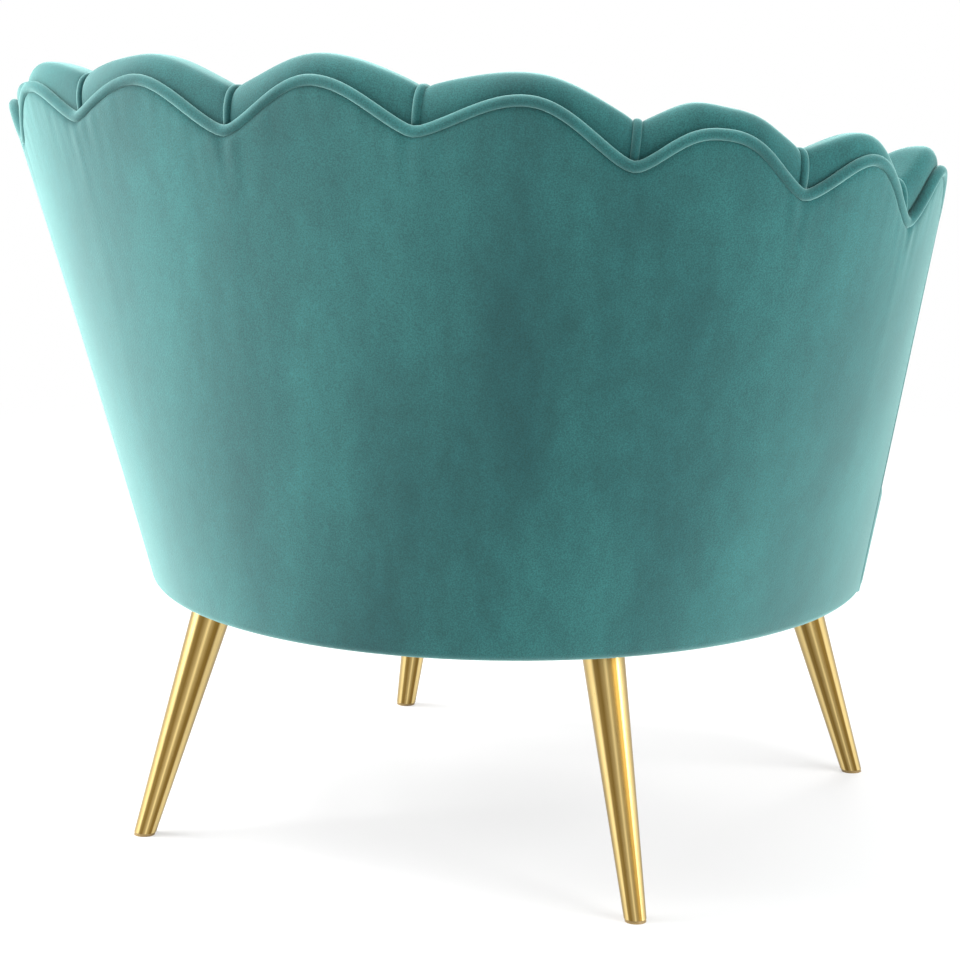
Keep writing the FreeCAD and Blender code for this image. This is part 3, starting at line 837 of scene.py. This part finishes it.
def apply_modifiers(piece: Piece) -> None:
    """Replace a piece's mesh by what its modifiers make of it."""
    graph = bpy.context.evaluated_depsgraph_get()
    mesh = bpy.data.meshes.new_from_object(piece.evaluated_get(graph))
    piece.modifiers.clear()
    old = piece.data
    piece.data = mesh
    bpy.data.meshes.remove(old)
    mesh.polygons.foreach_set("use_smooth", [True] * len(mesh.polygons))


def swell(piece: Piece, held: list[int], pressure: float, limit: float) -> None:
    """Blow a closed pad up as cloth, with its sewn points held still.

    Args:
        piece: the pad.
        held: numbers of the points that don't move.
        pressure: pressure inside it.
        limit: how far a point may move, in metres.
    """
    group = piece.vertex_groups.new(name="sewn")
    group.add(held, 1.0, "REPLACE")
    start = np.array([vertex.co[:] for vertex in piece.data.vertices])
    settings = piece.modifiers.new("cloth", "CLOTH").settings
    for name, value in CLOTH_SETTINGS.items():
        setattr(settings, name, value)
    settings.uniform_pressure_force = pressure
    settings.vertex_group_mass = group.name
    settings.effector_weights.gravity = 0.0
    scene = bpy.context.scene
    for frame_number in range(1, SWELL_FRAMES + 1):
        scene.frame_set(frame_number)
    graph = bpy.context.evaluated_depsgraph_get()
    end = np.array([vertex.co[:] for vertex in piece.evaluated_get(graph).data.vertices])
    piece.modifiers.clear()
    scene.frame_set(1)
    move = end - start
    length = np.linalg.norm(move, axis=1, keepdims=True)
    soft = limit * np.tanh(length / limit)
    move *= soft / np.maximum(length, 1e-9)
    for vertex, point in zip(piece.data.vertices, start + move):
        vertex.co = point
    piece.vertex_groups.clear()
    LOG.info("%s swelled by %.1f mm at most", piece.name, 1000 * float(soft.max()))


@dataclass
class ChannelPads:
    """The nine padded channels and the welts between them."""

    form: ShellForm
    velvet: Material
    stations: int = 37
    pad_steps: tuple[int, int, int] = (14, 14, 34)
    welt_steps: tuple[int, int, int] = (14, 10, 26)
    draw_in: float = 0.004
    draw_sharpness: float = 6.0
    tuck: float = 0.0045
    tuck_sharpness: float = 26.0
    cord_radius: float = 0.0046
    cord_inset: float = 0.006
    pressure: float = 1.2
    swell_limit: float = 0.004

    def over_crest(self, reach: float, levels: tuple[float, float, float], inset: float,
                   steps: tuple[int, int, int]) -> Spots:
        """Depths and heights of a line over the rim's roll and down the inner face.

        Args:
            reach: how far behind the crest it starts.
            levels: its heights at the start, at the crest and at the foot.
            inset: how far it lies within a pad's full thickness.
            steps: points of the roll, of the fall in front of it and of the face.

        Returns:
            The places, from the rim.
        """
        form = self.form
        start, top, floor = levels
        shoulder = form.pad_back + form.pad_thickness - inset
        foot = form.pad_back + form.pad_foot_thickness - inset
        drop = shoulder - form.crest_depth
        roll, fall, face = steps
        spots = [(form.crest_depth - reach * math.cos(turn), start + (top - start) * math.sin(turn))
                 for turn in quarter(roll)]
        spots += [(form.crest_depth + drop * math.sin(turn), top - drop * (1 - math.cos(turn)))
                  for turn in quarter(fall)[1:]]
        knee = top - drop
        return spots + [(shoulder + share * (foot - shoulder), knee + share * (floor - knee))
                        for share in np.linspace(0, 1, face)[1:]]

    def section(self, angle: float, place: float, sink: float) -> Spots:
        """Depths and heights of a pad's closed outline at one angle.

        Args:
            angle: the outline's angle.
            place: its place in its channel.
            sink: how far its surface is drawn in.

        Returns:
            The places, from the foot behind, over the top and down the front.
        """
        form = self.form
        pinch = form.scallop(place)
        rim = form.rim(angle, place)
        floor = form.ring_top + form.clearance
        levels = (rim + PAD_LIFT, rim + form.pad_rise + form.valley_rise * pinch - sink, floor)
        return ([(form.pad_back, floor), (form.pad_back, rim - 2 * form.welt_radius)]
                + self.over_crest(form.crest_depth - form.lip, levels,
                                  form.pad_pinch * pinch + sink, self.pad_steps))

    def build_pad(self, number: int, channel: tuple[float, float]) -> None:
        """Make one pad.

        Args:
            number: its number from the left arm.
            channel: its two seams.
        """
        form = self.form
        low, high = channel
        arm_limit = form.arm_angle(-form.post_reach)
        first, last = max(low + SEAM_ANGLE, -arm_limit), min(high - SEAM_ANGLE, arm_limit)
        rings = []
        for share in np.linspace(-1, 1, self.stations):
            spread = math.sin(share * math.pi / 2)
            angle = (first + last) / 2 + spread * (last - first) / 2
            place = 2 * (angle - low) / (high - low) - 1
            seam_side = not (abs(angle) > form.valleys[-1] and angle * (first + last) > 0
                             and abs(angle) > abs(first + last) / 2)
            sink = (self.draw_in * abs(spread) ** self.draw_sharpness
                    + self.tuck * abs(spread) ** self.tuck_sharpness) if seam_side else 0.0
            rings.append(form.line(angle, self.section(angle, place, sink)))
        around = len(rings[0])
        piece = mesh_piece(f"pad_{number}", np.concatenate(rings), loop_faces(len(rings), around),
                           self.velvet)
        held = [ring * around + spot for ring in range(len(rings)) for spot in range(around)
                if ring in (0, len(rings) - 1) or spot in (0, 1, 2, around - 1)]
        swell(piece, held, self.pressure, self.swell_limit)
        dressed(piece, Slot.VELVET, f"channel_pad_{number}")

    def seam_path(self, angle: float) -> np.ndarray:
        """Middle line of the welt between two pads."""
        form = self.form
        rim = form.rim(angle, 1.0)
        levels = (rim + form.welt_radius, rim + form.pad_rise + form.valley_rise - self.cord_inset,
                  form.ring_top + form.welt_radius)
        reach = form.crest_depth - form.lip - self.cord_radius / 2
        return form.line(angle, self.over_crest(reach, levels, form.pad_pinch + self.cord_inset,
                                                self.welt_steps))

    def build(self) -> None:
        """Make the pads and the welts in their seams."""
        for number, channel in enumerate(self.form.channels, start=1):
            self.build_pad(number, channel)
        paths = [self.seam_path(angle) for angle in self.form.edges[1:-1]]
        welts = cord_piece("seam_welts", paths, self.cord_radius, self.velvet)
        dressed(welts, Slot.VELVET, "channel_welts")


@dataclass
class ArmFronts:
    """The padded velvet that wraps the posts and closes the arms."""

    form: ShellForm
    velvet: Material
    pads: ChannelPads
    rings: int = 9
    crown: float = 0.004
    cloth: float = 0.0024
    heel: float = 0.030
    shoulder: float = 0.036
    steps: tuple[tuple[float, float], ...] = ((0.05, 0.40), (0.14, 0.72), (0.30, 0.90),
                                              (0.55, 0.98), (0.80, 1.0), (0.96, 1.0))

    def ring(self, distance: float, share: float, over_panel: bool) -> np.ndarray:
        """One outline of the left arm's wrap or face.

        Args:
            distance: how far it lies in front of the arm's end.
            share: how far it is drawn in to the face's upright middle line, from 0 to 1.
            over_panel: whether it reaches over the end of the back panel, to the welt.

        Returns:
            Its points.
        """
        form = self.form
        angle = form.arm_angle(distance)
        low, high = form.channels[0]
        spots = self.pads.section(angle, 2 * (angle - low) / (high - low) - 1, -self.cloth)
        for spot, turn in enumerate(quarter(self.pads.pad_steps[0]), start=2):
            spots[spot] = (spots[spot][0] - self.cloth * math.cos(turn), spots[spot][1])
        spots[1] = (form.lip - self.cloth, spots[1][1])
        if over_panel:
            spots[0] = (form.lip, spots[0][1])
        floor, top = spots[0][1], max(height for _, height in spots)
        middle = (form.lip + max(depth for depth, _ in spots)) / 2
        drawn = []
        for depth, height in spots:
            level = min(max(height, floor + self.heel), top - self.shoulder)
            drawn.append((depth + (middle - depth) * share, height + (level - height) * share))
        return form.line(angle, drawn)

    def build(self) -> None:
        """Make both faces."""
        welt = self.form.welt_radius
        outlines = [self.ring(distance, 0.0, distance > -welt)
                    for distance in np.linspace(-self.form.post_reach, welt, self.rings)]
        outlines += [self.ring(welt + self.crown * lift, share, True) for share, lift in self.steps]
        faces = loop_faces(len(outlines), len(outlines[0]))
        points = np.concatenate(outlines)
        for name, side in (("left", 1), ("right", -1)):
            piece = mesh_piece(f"arm_face_{name}", points * (side, 1, 1), faces, self.velvet)
            dressed(piece, Slot.VELVET, f"arm_front_{name}")


@dataclass
class SeatBand:
    """The velvet band round the front, and the covered deck that the cushion lies on."""

    form: ShellForm
    velvet: Material
    deck_cloth: Material
    columns: int = 90
    rows: int = 16
    thickness: float = 0.0016
    turn_radius: float = 0.007
    deck_depth: float = 0.0069
    deck_thickness: float = 0.0127

    def build_band(self) -> None:
        """Make the band with turned edges."""
        form, radius = self.form, self.turn_radius
        spots = turned_edge(radius, form.bottom)
        low, high = spots[-1][1], form.platform_top - radius
        spots += [(0.0, low + share * (high - low)) for share in np.linspace(0, 1, self.rows)[1:]]
        spots += [(radius * (1 - math.cos(turn)), form.platform_top - radius * (1 - math.sin(turn)))
                  for turn in quarter(EDGE_STEPS)[1:]]
        grid = np.array([form.front_arc(depth, height, self.columns) for depth, height in spots])
        band = sheet_piece("seat_band", grid, self.thickness, self.velvet)
        dressed(band, Slot.VELVET, "apron_cover", "apron_padding")

    def build_deck(self) -> None:
        """Make the deck, in the cushion's plan."""
        top = self.form.platform_top
        cushion = SeatCushion(self.form, self.velvet)
        rings = [cushion.outline(self.deck_depth, 0.0, height)
                 for height in (top - self.deck_thickness, top)]
        deck = mesh_piece("seat_deck", np.concatenate(rings), loop_faces(2, len(rings[0])),
                          self.deck_cloth)
        dressed(deck, Slot.FOAM, "platform_foam")

    def build(self) -> None:
        """Make the band and the deck."""
        self.build_band()
        self.build_deck()


@dataclass
class SeatCushion:
    """The loose crowned cushion with a welt at each seam."""

    form: ShellForm
    velvet: Material
    seat_height: float = 0.455
    crown: float = 0.022
    crown_reach: float = 0.20
    cell: float = 0.007
    bulge: float = 0.012
    reach: float = 0.002
    corner_steps: int = 5
    rear_steps: int = 60
    front_steps: int = 80
    side_steps: int = 12
    under_scales: tuple[float, ...] = (0.3, 0.7, 0.94)
    side_rings: int = 14
    top_rings: int = 26
    top_share: float = 0.97
    rounding: float = 1.5
    held_height: float = 0.004
    pressure: float = 0.8
    swell_limit: float = 0.010
    level: float = field(init=False)

    def __post_init__(self) -> None:
        """Work out the level that the cushion lies on."""
        self.level = self.form.platform_top + self.form.clearance

    def outline(self, front_depth: float, inset: float, height: float) -> np.ndarray:
        """The cushion's plan.

        Args:
            front_depth: how far its front stands back from the front band.
            inset: how far every side is drawn in.
            height: the height that the points are given.

        Returns:
            The points of a closed run, from the left arm round the rear and back by the front.
        """
        form = self.form
        rear_depth = form.pad_back + form.pad_foot_thickness + 2 * form.clearance + inset
        ear = form.arm_angle(form.welt_radius + form.clearance + inset)
        rear = [form.wall(angle, rear_depth, self.level)
                for angle in np.linspace(90, -90, self.rear_steps)]
        nook = form.wall(ear, rear_depth, self.level)
        corner = form.wall(ear, front_depth + inset, self.level)
        front = form.front_arc(front_depth + inset, self.level, self.front_steps)
        left_side = [corner + (nook - corner) * share
                     for share in np.linspace(0, 1, self.side_steps)]
        right_side = [point * MIRROR for point in reversed(left_side)]
        smoothed = np.array(left_side[1:-1] + [nook] + rear + [nook * MIRROR]
                            + right_side[1:-1] + list(front[2:-2]))
        for _ in range(self.corner_steps):
            smoothed = (np.roll(smoothed, 1, 0) + 2 * smoothed + np.roll(smoothed, -1, 0)) / 4
        smoothed[:, 2] = height
        return smoothed

    def crowning(self, points: np.ndarray, seam: np.ndarray) -> np.ndarray:
        """How far places of the cushion's top stand above its seam.

        Args:
            points: the places.
            seam: the points of the seam round it.

        Returns:
            The heights, which grow with the distance from the seam.
        """
        apart = np.linalg.norm(points[:, None, :2] - seam[None, :, :2], axis=2).min(axis=1)
        share = np.clip(apart / self.crown_reach, 0.0, 1.0)
        return self.crown * np.sin(share * math.pi / 2)

    def build(self) -> None:
        """Make the cushion and its two welts."""
        form = self.form
        edge = self.seat_height - self.crown
        low, high = self.level + 2 * form.welt_radius, edge - form.welt_radius
        middle = np.array((0.0, form.base_center_y, 0.0))
        reach = self.outline(self.reach, self.bulge, 0.0) - middle
        length = np.linalg.norm(reach, axis=1, keepdims=True)
        rings = []
        for scale in self.under_scales:
            ring = middle + reach * (scale, scale, 1)
            ring[:, 2] = self.level
            rings.append(ring)
        for share in np.linspace(0, 1, self.side_rings):
            rings.append(self.outline(self.reach, self.bulge * (1 - math.sin(math.pi * share)),
                                      low + share * (high - low)))
        for turn in quarter(self.top_rings):
            scale = 1 - self.top_share * (1 - math.cos(turn))
            rounding = min(1.0, self.rounding * (1 - scale))
            ring = middle + reach / length * scale * (length * (1 - rounding)
                                                      + length.mean() * rounding)
            ring[:, 2] = edge + self.crowning(ring, middle + reach)
            rings.append(ring)
        piece = mesh_piece("cushion", np.concatenate(rings), loop_faces(len(rings), len(rings[0])),
                           self.velvet)
        remesh = piece.modifiers.new("even_cells", "REMESH")
        remesh.mode = "VOXEL"
        remesh.voxel_size = self.cell
        apply_modifiers(piece)
        held = [vertex.index for vertex in piece.data.vertices
                if vertex.co.z < edge + self.held_height]
        swell(piece, held, self.pressure, self.swell_limit)
        dressed(piece, Slot.VELVET, "seat_cushion")
        inset = self.bulge - form.welt_radius
        paths = [self.outline(self.reach, inset, height)
                 for height in (self.level + form.welt_radius, edge)]
        welts = cord_piece("cushion_cords", paths, form.welt_radius, self.velvet, closed=True)
        dressed(welts, Slot.VELVET, "cushion_welts")


@dataclass
class Underside:
    """The webbing that carries the seat and the cloth that closes the chair from below."""

    form: ShellForm
    webbing: Material
    cloth: Material
    opening_radius: float = 0.250
    lap: float = 0.026
    straps: int = 5
    strap_width: float = 0.050
    strap_thickness: float = 0.002
    strap_steps: int = 40
    side_points: int = 7
    give: float = 0.0006
    cloth_radius: float = 0.3428
    cloth_sag: float = 0.0025
    sag_radius: float = 0.27
    cloth_thickness: float = 0.0006
    cloth_rings: int = 40
    cloth_sides: int = 96

    def strap(self, offset: float, bottom: float, crosswise: bool) -> np.ndarray:
        """Rings of one strap, which gives a little in its middle.

        Args:
            offset: its place beside the chair's middle.
            bottom: the height of its underside at the ends.
            crosswise: whether it runs from arm to arm.

        Returns:
            The rings' points, from one end to the other.
        """
        half = math.sqrt((self.opening_radius + self.lap) ** 2 - offset ** 2)
        rounding = self.strap_thickness / 2
        section = []
        for side, first in ((1, -90), (-1, 90)):
            for turn in np.radians(np.linspace(first, first + 180, self.side_points)):
                middle = side * (self.strap_width / 2 - rounding)
                section.append((middle + rounding * math.cos(turn),
                                rounding + rounding * math.sin(turn)))
        rings = []
        for share in np.linspace(-1, 1, self.strap_steps):
            sag = self.give * max(0.0, 1 - (share * half / self.opening_radius) ** 2)
            for across, lift in section:
                along = share * half
                spot = (along, offset + across) if crosswise else (offset + across, along)
                rings.append((spot[0], self.form.base_center_y + spot[1], bottom + lift - sag))
        return np.array(rings)

    def build_webbing(self) -> None:
        """Make both layers of straps."""
        spacing = 2 * self.opening_radius / (self.straps + 1)
        for name, node, bottom in (
                ("long_straps", "webbing_lengthwise", self.form.ring_top),
                ("cross_straps", "webbing_crosswise", self.form.ring_top + self.strap_thickness)):
            points: list[np.ndarray] = []
            faces: Faces = []
            for number in range(self.straps):
                offset = (number - (self.straps - 1) / 2) * spacing
                points.append(self.strap(offset, bottom, name == "cross_straps"))
                faces += loop_faces(self.strap_steps, 2 * self.side_points,
                                    start=number * len(points[-1]))
            dressed(mesh_piece(name, np.concatenate(points), faces, self.webbing),
                    Slot.WEBBING, node)

    def build_cloth(self) -> None:
        """Stretch the dust cloth under the base board."""
        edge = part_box("dust_cover")[0][2] + self.cloth_thickness
        points = [(0.0, self.form.base_center_y, edge - self.cloth_sag)]
        faces: Faces = []
        for ring in range(1, self.cloth_rings + 1):
            radius = self.cloth_radius * ring / self.cloth_rings
            inside = max(0.0, 1 - (radius / self.sag_radius) ** 2)
            height = edge - self.cloth_sag * inside ** 2
            for spot in range(self.cloth_sides):
                turn = 2 * math.pi * spot / self.cloth_sides
                points.append((radius * math.cos(turn),
                               self.form.base_center_y + radius * math.sin(turn), height))
        for spot in range(self.cloth_sides):
            faces.append((0, 1 + spot, 1 + (spot + 1) % self.cloth_sides))
        faces += loop_faces(self.cloth_rings, self.cloth_sides, cap=False, start=1)
        piece = mesh_piece("dust_cloth_sheet", np.array(points), faces, self.cloth)
        thicken(piece, self.cloth_thickness)
        dressed(piece, Slot.DUST_CLOTH, "dust_cover")

    def build(self) -> None:
        """Make the webbing and the cloth."""
        self.build_webbing()
        self.build_cloth()


@dataclass
class Construction:
    """The construction nodes that stay as they are and only get their finishes."""

    foot_radius: float = 0.0105
    woods: tuple[str, ...] = ("base_board", "seat_ring", "support_blocks", "back_panel",
                              "apron_panel", "arm_post_left", "arm_post_right")
    screws: tuple[str, ...] = ("plate_screws", "frame_screws")

    def paint(self, node: str, material: Material) -> None:
        """Give a construction node one material."""
        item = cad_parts[node]
        item.data.materials.clear()
        item.data.materials.append(material)
        LOG.info("%s finished in %s", node, material.name)

    def leg_brass(self, corner: Corner) -> BrassFinish:
        """The brass of one leg, with its painted reflections along the line from its foot to its
        plate.
        """
        low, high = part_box(f"leg_{corner.value}")
        plate_low, plate_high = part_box(f"leg_plate_{corner.value}")
        foot = [high[axis] - self.foot_radius if high[axis] + low[axis] > 0
                else low[axis] + self.foot_radius for axis in (0, 1)]
        top = [(plate_low[axis] + plate_high[axis]) / 2 for axis in (0, 1)]
        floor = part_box(f"foot_plug_{corner.value}")[0][2]
        return BrassFinish(f"satin_brass_{corner.value}", (*foot, floor), (*top, plate_low[2]))

    def build(self) -> None:
        """Finish the legs, the woods and the metals."""
        plywood = PlywoodFinish().build()
        steel = PlainFinish("plated_steel", (0.55, 0.55, 0.56), 1.0, 0.35).build()
        plastic = PlainFinish("brass_toned_plastic", (0.30, 0.20, 0.07), 0.0, 0.45).build()
        for corner in Corner:
            self.paint(f"leg_{corner.value}", self.leg_brass(corner).build())
            self.paint(f"leg_plate_{corner.value}", steel)
            self.paint(f"foot_plug_{corner.value}", plastic)
        for nodes, material in ((self.woods, plywood), (self.screws, steel)):
            for node in nodes:
                self.paint(node, material)


@dataclass(frozen=True)
class Lamp:
    """A square soft light: its name, its place, the length of its side and its power in watts."""

    name: str
    place: Place
    width: float
    power: float
    aim: Place = (0.0, 0.0, 0.45)

    def build(self) -> None:
        """Hang the lamp, pointed at the chair's middle."""
        data = bpy.data.lights.new(self.name, "AREA")
        data.size = self.width
        data.energy = self.power
        lamp = bpy.data.objects.new(self.name, data)
        lamp.location = self.place
        sight = Vector(self.aim) - Vector(self.place)
        lamp.rotation_euler = sight.to_track_quat("-Z", "Y").to_euler()
        bpy.context.scene.collection.objects.link(lamp)


@dataclass
class Studio:
    """A pale floor, soft lights and a camera at the photograph's angle."""

    picture_width: float = 960.0
    focal_pixels: float = 3437.6
    sensor: float = 36.0
    camera_place: Place = (-1.551, 3.019, 1.077)
    forward: tuple[float, float] = (0.4627, -0.8865)
    pitch: float = 12.174
    roll: float = 0.328
    ambient: float = 0.33
    floor_grey: float = 0.86
    floor_half: float = 14.0
    floor_glow: float = 0.55
    glow_start: float = 0.7
    glow_end: float = 2.3
    lamps: tuple[Lamp, ...] = (
        Lamp("left_side", (2.60, 1.10, 1.6), 2.2, 155.0),
        Lamp("right_side", (-2.75, 0.10, 1.5), 2.2, 108.0),
        Lamp("overhead", (0.9, 0.5, 2.9), 2.0, 90.0),
        Lamp("before", (0.6, -3.0, 2.2), 2.0, 70.0))

    def build_camera(self) -> None:
        """Place the camera where the photograph was taken."""
        data = bpy.data.cameras.new("camera")
        data.sensor_width = self.sensor
        data.lens = self.focal_pixels / self.picture_width * self.sensor
        camera = bpy.data.objects.new("camera", data)
        ahead_x, ahead_y = self.forward
        drop = math.radians(self.pitch)
        ahead = Vector((ahead_x * math.cos(drop), ahead_y * math.cos(drop), -math.sin(drop)))
        right = ahead.cross(Vector(UP)).normalized()
        turn = Matrix((right, right.cross(ahead), -ahead)).transposed()
        turn = turn @ Matrix.Rotation(math.radians(self.roll), 3, "Z")
        camera.matrix_world = Matrix.Translation(self.camera_place) @ turn.to_4x4()
        bpy.context.scene.collection.objects.link(camera)
        bpy.context.scene.camera = camera

    def build_floor(self) -> None:
        """Lay the pale floor, which the camera sees as the background too."""
        material, tree, shader = new_material("pale_floor")
        feed(tree, shader, {"Base Color": (*grey(self.floor_grey), 1.0), "Roughness": 0.9,
                            "Specular IOR Level": 0.1})
        glow = add_node(tree, "Emission", {"Strength": 1.0})
        place = add_node(tree, "TexCoord", {}).outputs["Object"]
        distance = add_node(tree, "VectorMath", {0: place}, operation="LENGTH").outputs["Value"]
        fade = add_node(tree, "MapRange", {
            "Value": distance, "From Min": self.glow_start, "From Max": self.glow_end,
            "To Min": self.floor_glow, "To Max": 1.0}, interpolation_type="SMOOTHSTEP")
        share = worked_out(tree, "MULTIPLY", self.seen_directly(tree), fade.outputs["Result"])
        mix = add_node(tree, "MixShader", {"Fac": share, 1: shader.outputs["BSDF"],
                                           2: glow.outputs["Emission"]})
        feed(tree, tree.nodes["Material Output"], {"Surface": mix.outputs["Shader"]})
        half = self.floor_half
        points = np.array([(-half, -half, 0), (half, -half, 0), (half, half, 0), (-half, half, 0)])
        mesh_piece("floor", points, [(0, 1, 2, 3)], material, smooth=False)

    def build_world(self) -> None:
        """Fill the scene with plain white light."""
        world = bpy.data.worlds.new("studio")
        world.use_nodes = True
        tree = world.node_tree
        ambient = tree.nodes["Background"]
        feed(tree, ambient, {"Color": WHITE, "Strength": self.ambient})
        backdrop = add_node(tree, "Background", {"Color": WHITE, "Strength": 1.0})
        mix = add_node(tree, "MixShader", {"Fac": self.seen_directly(tree),
                                           1: ambient.outputs["Background"],
                                           2: backdrop.outputs["Background"]})
        feed(tree, tree.nodes["World Output"], {"Surface": mix.outputs["Shader"]})
        bpy.context.scene.world = world

    def seen_directly(self, tree: Tree) -> Socket:
        """A factor that is 1 for what the camera, a gloss or a clear piece sees."""
        rays = add_node(tree, "LightPath", {}).outputs
        seen = worked_out(tree, "MAXIMUM", rays["Is Camera Ray"], rays["Is Glossy Ray"])
        return worked_out(tree, "MAXIMUM", seen, rays["Is Transmission Ray"])

    def build(self) -> None:
        """Set the whole studio up."""
        self.build_camera()
        self.build_floor()
        self.build_world()
        for lamp in self.lamps:
            lamp.build()
        bpy.context.scene.view_settings.view_transform = "Standard"


def main() -> None:
    """Build the studio and the chair's sub-assemblies in order."""
    logging.basicConfig(level=logging.INFO, format="%(name)s: %(message)s")
    form = ShellForm()
    velvet = VelvetFinish().build()
    lining = WovenFinish("seat_lining", (0.030, 0.105, 0.108)).build()
    Studio().build()
    Construction().build()
    Underside(form, WovenFinish("elastic_webbing", (0.05, 0.05, 0.055)).build(),
              WovenFinish("black_dust_cloth", (0.010, 0.010, 0.011)).build()).build()
    OuterBack(form, velvet).build()
    pads = ChannelPads(form, velvet)
    pads.build()
    ArmFronts(form, velvet, pads).build()
    SeatBand(form, velvet, lining).build()
    SeatCushion(form, velvet).build()


if __name__ == "__main__":
    main()
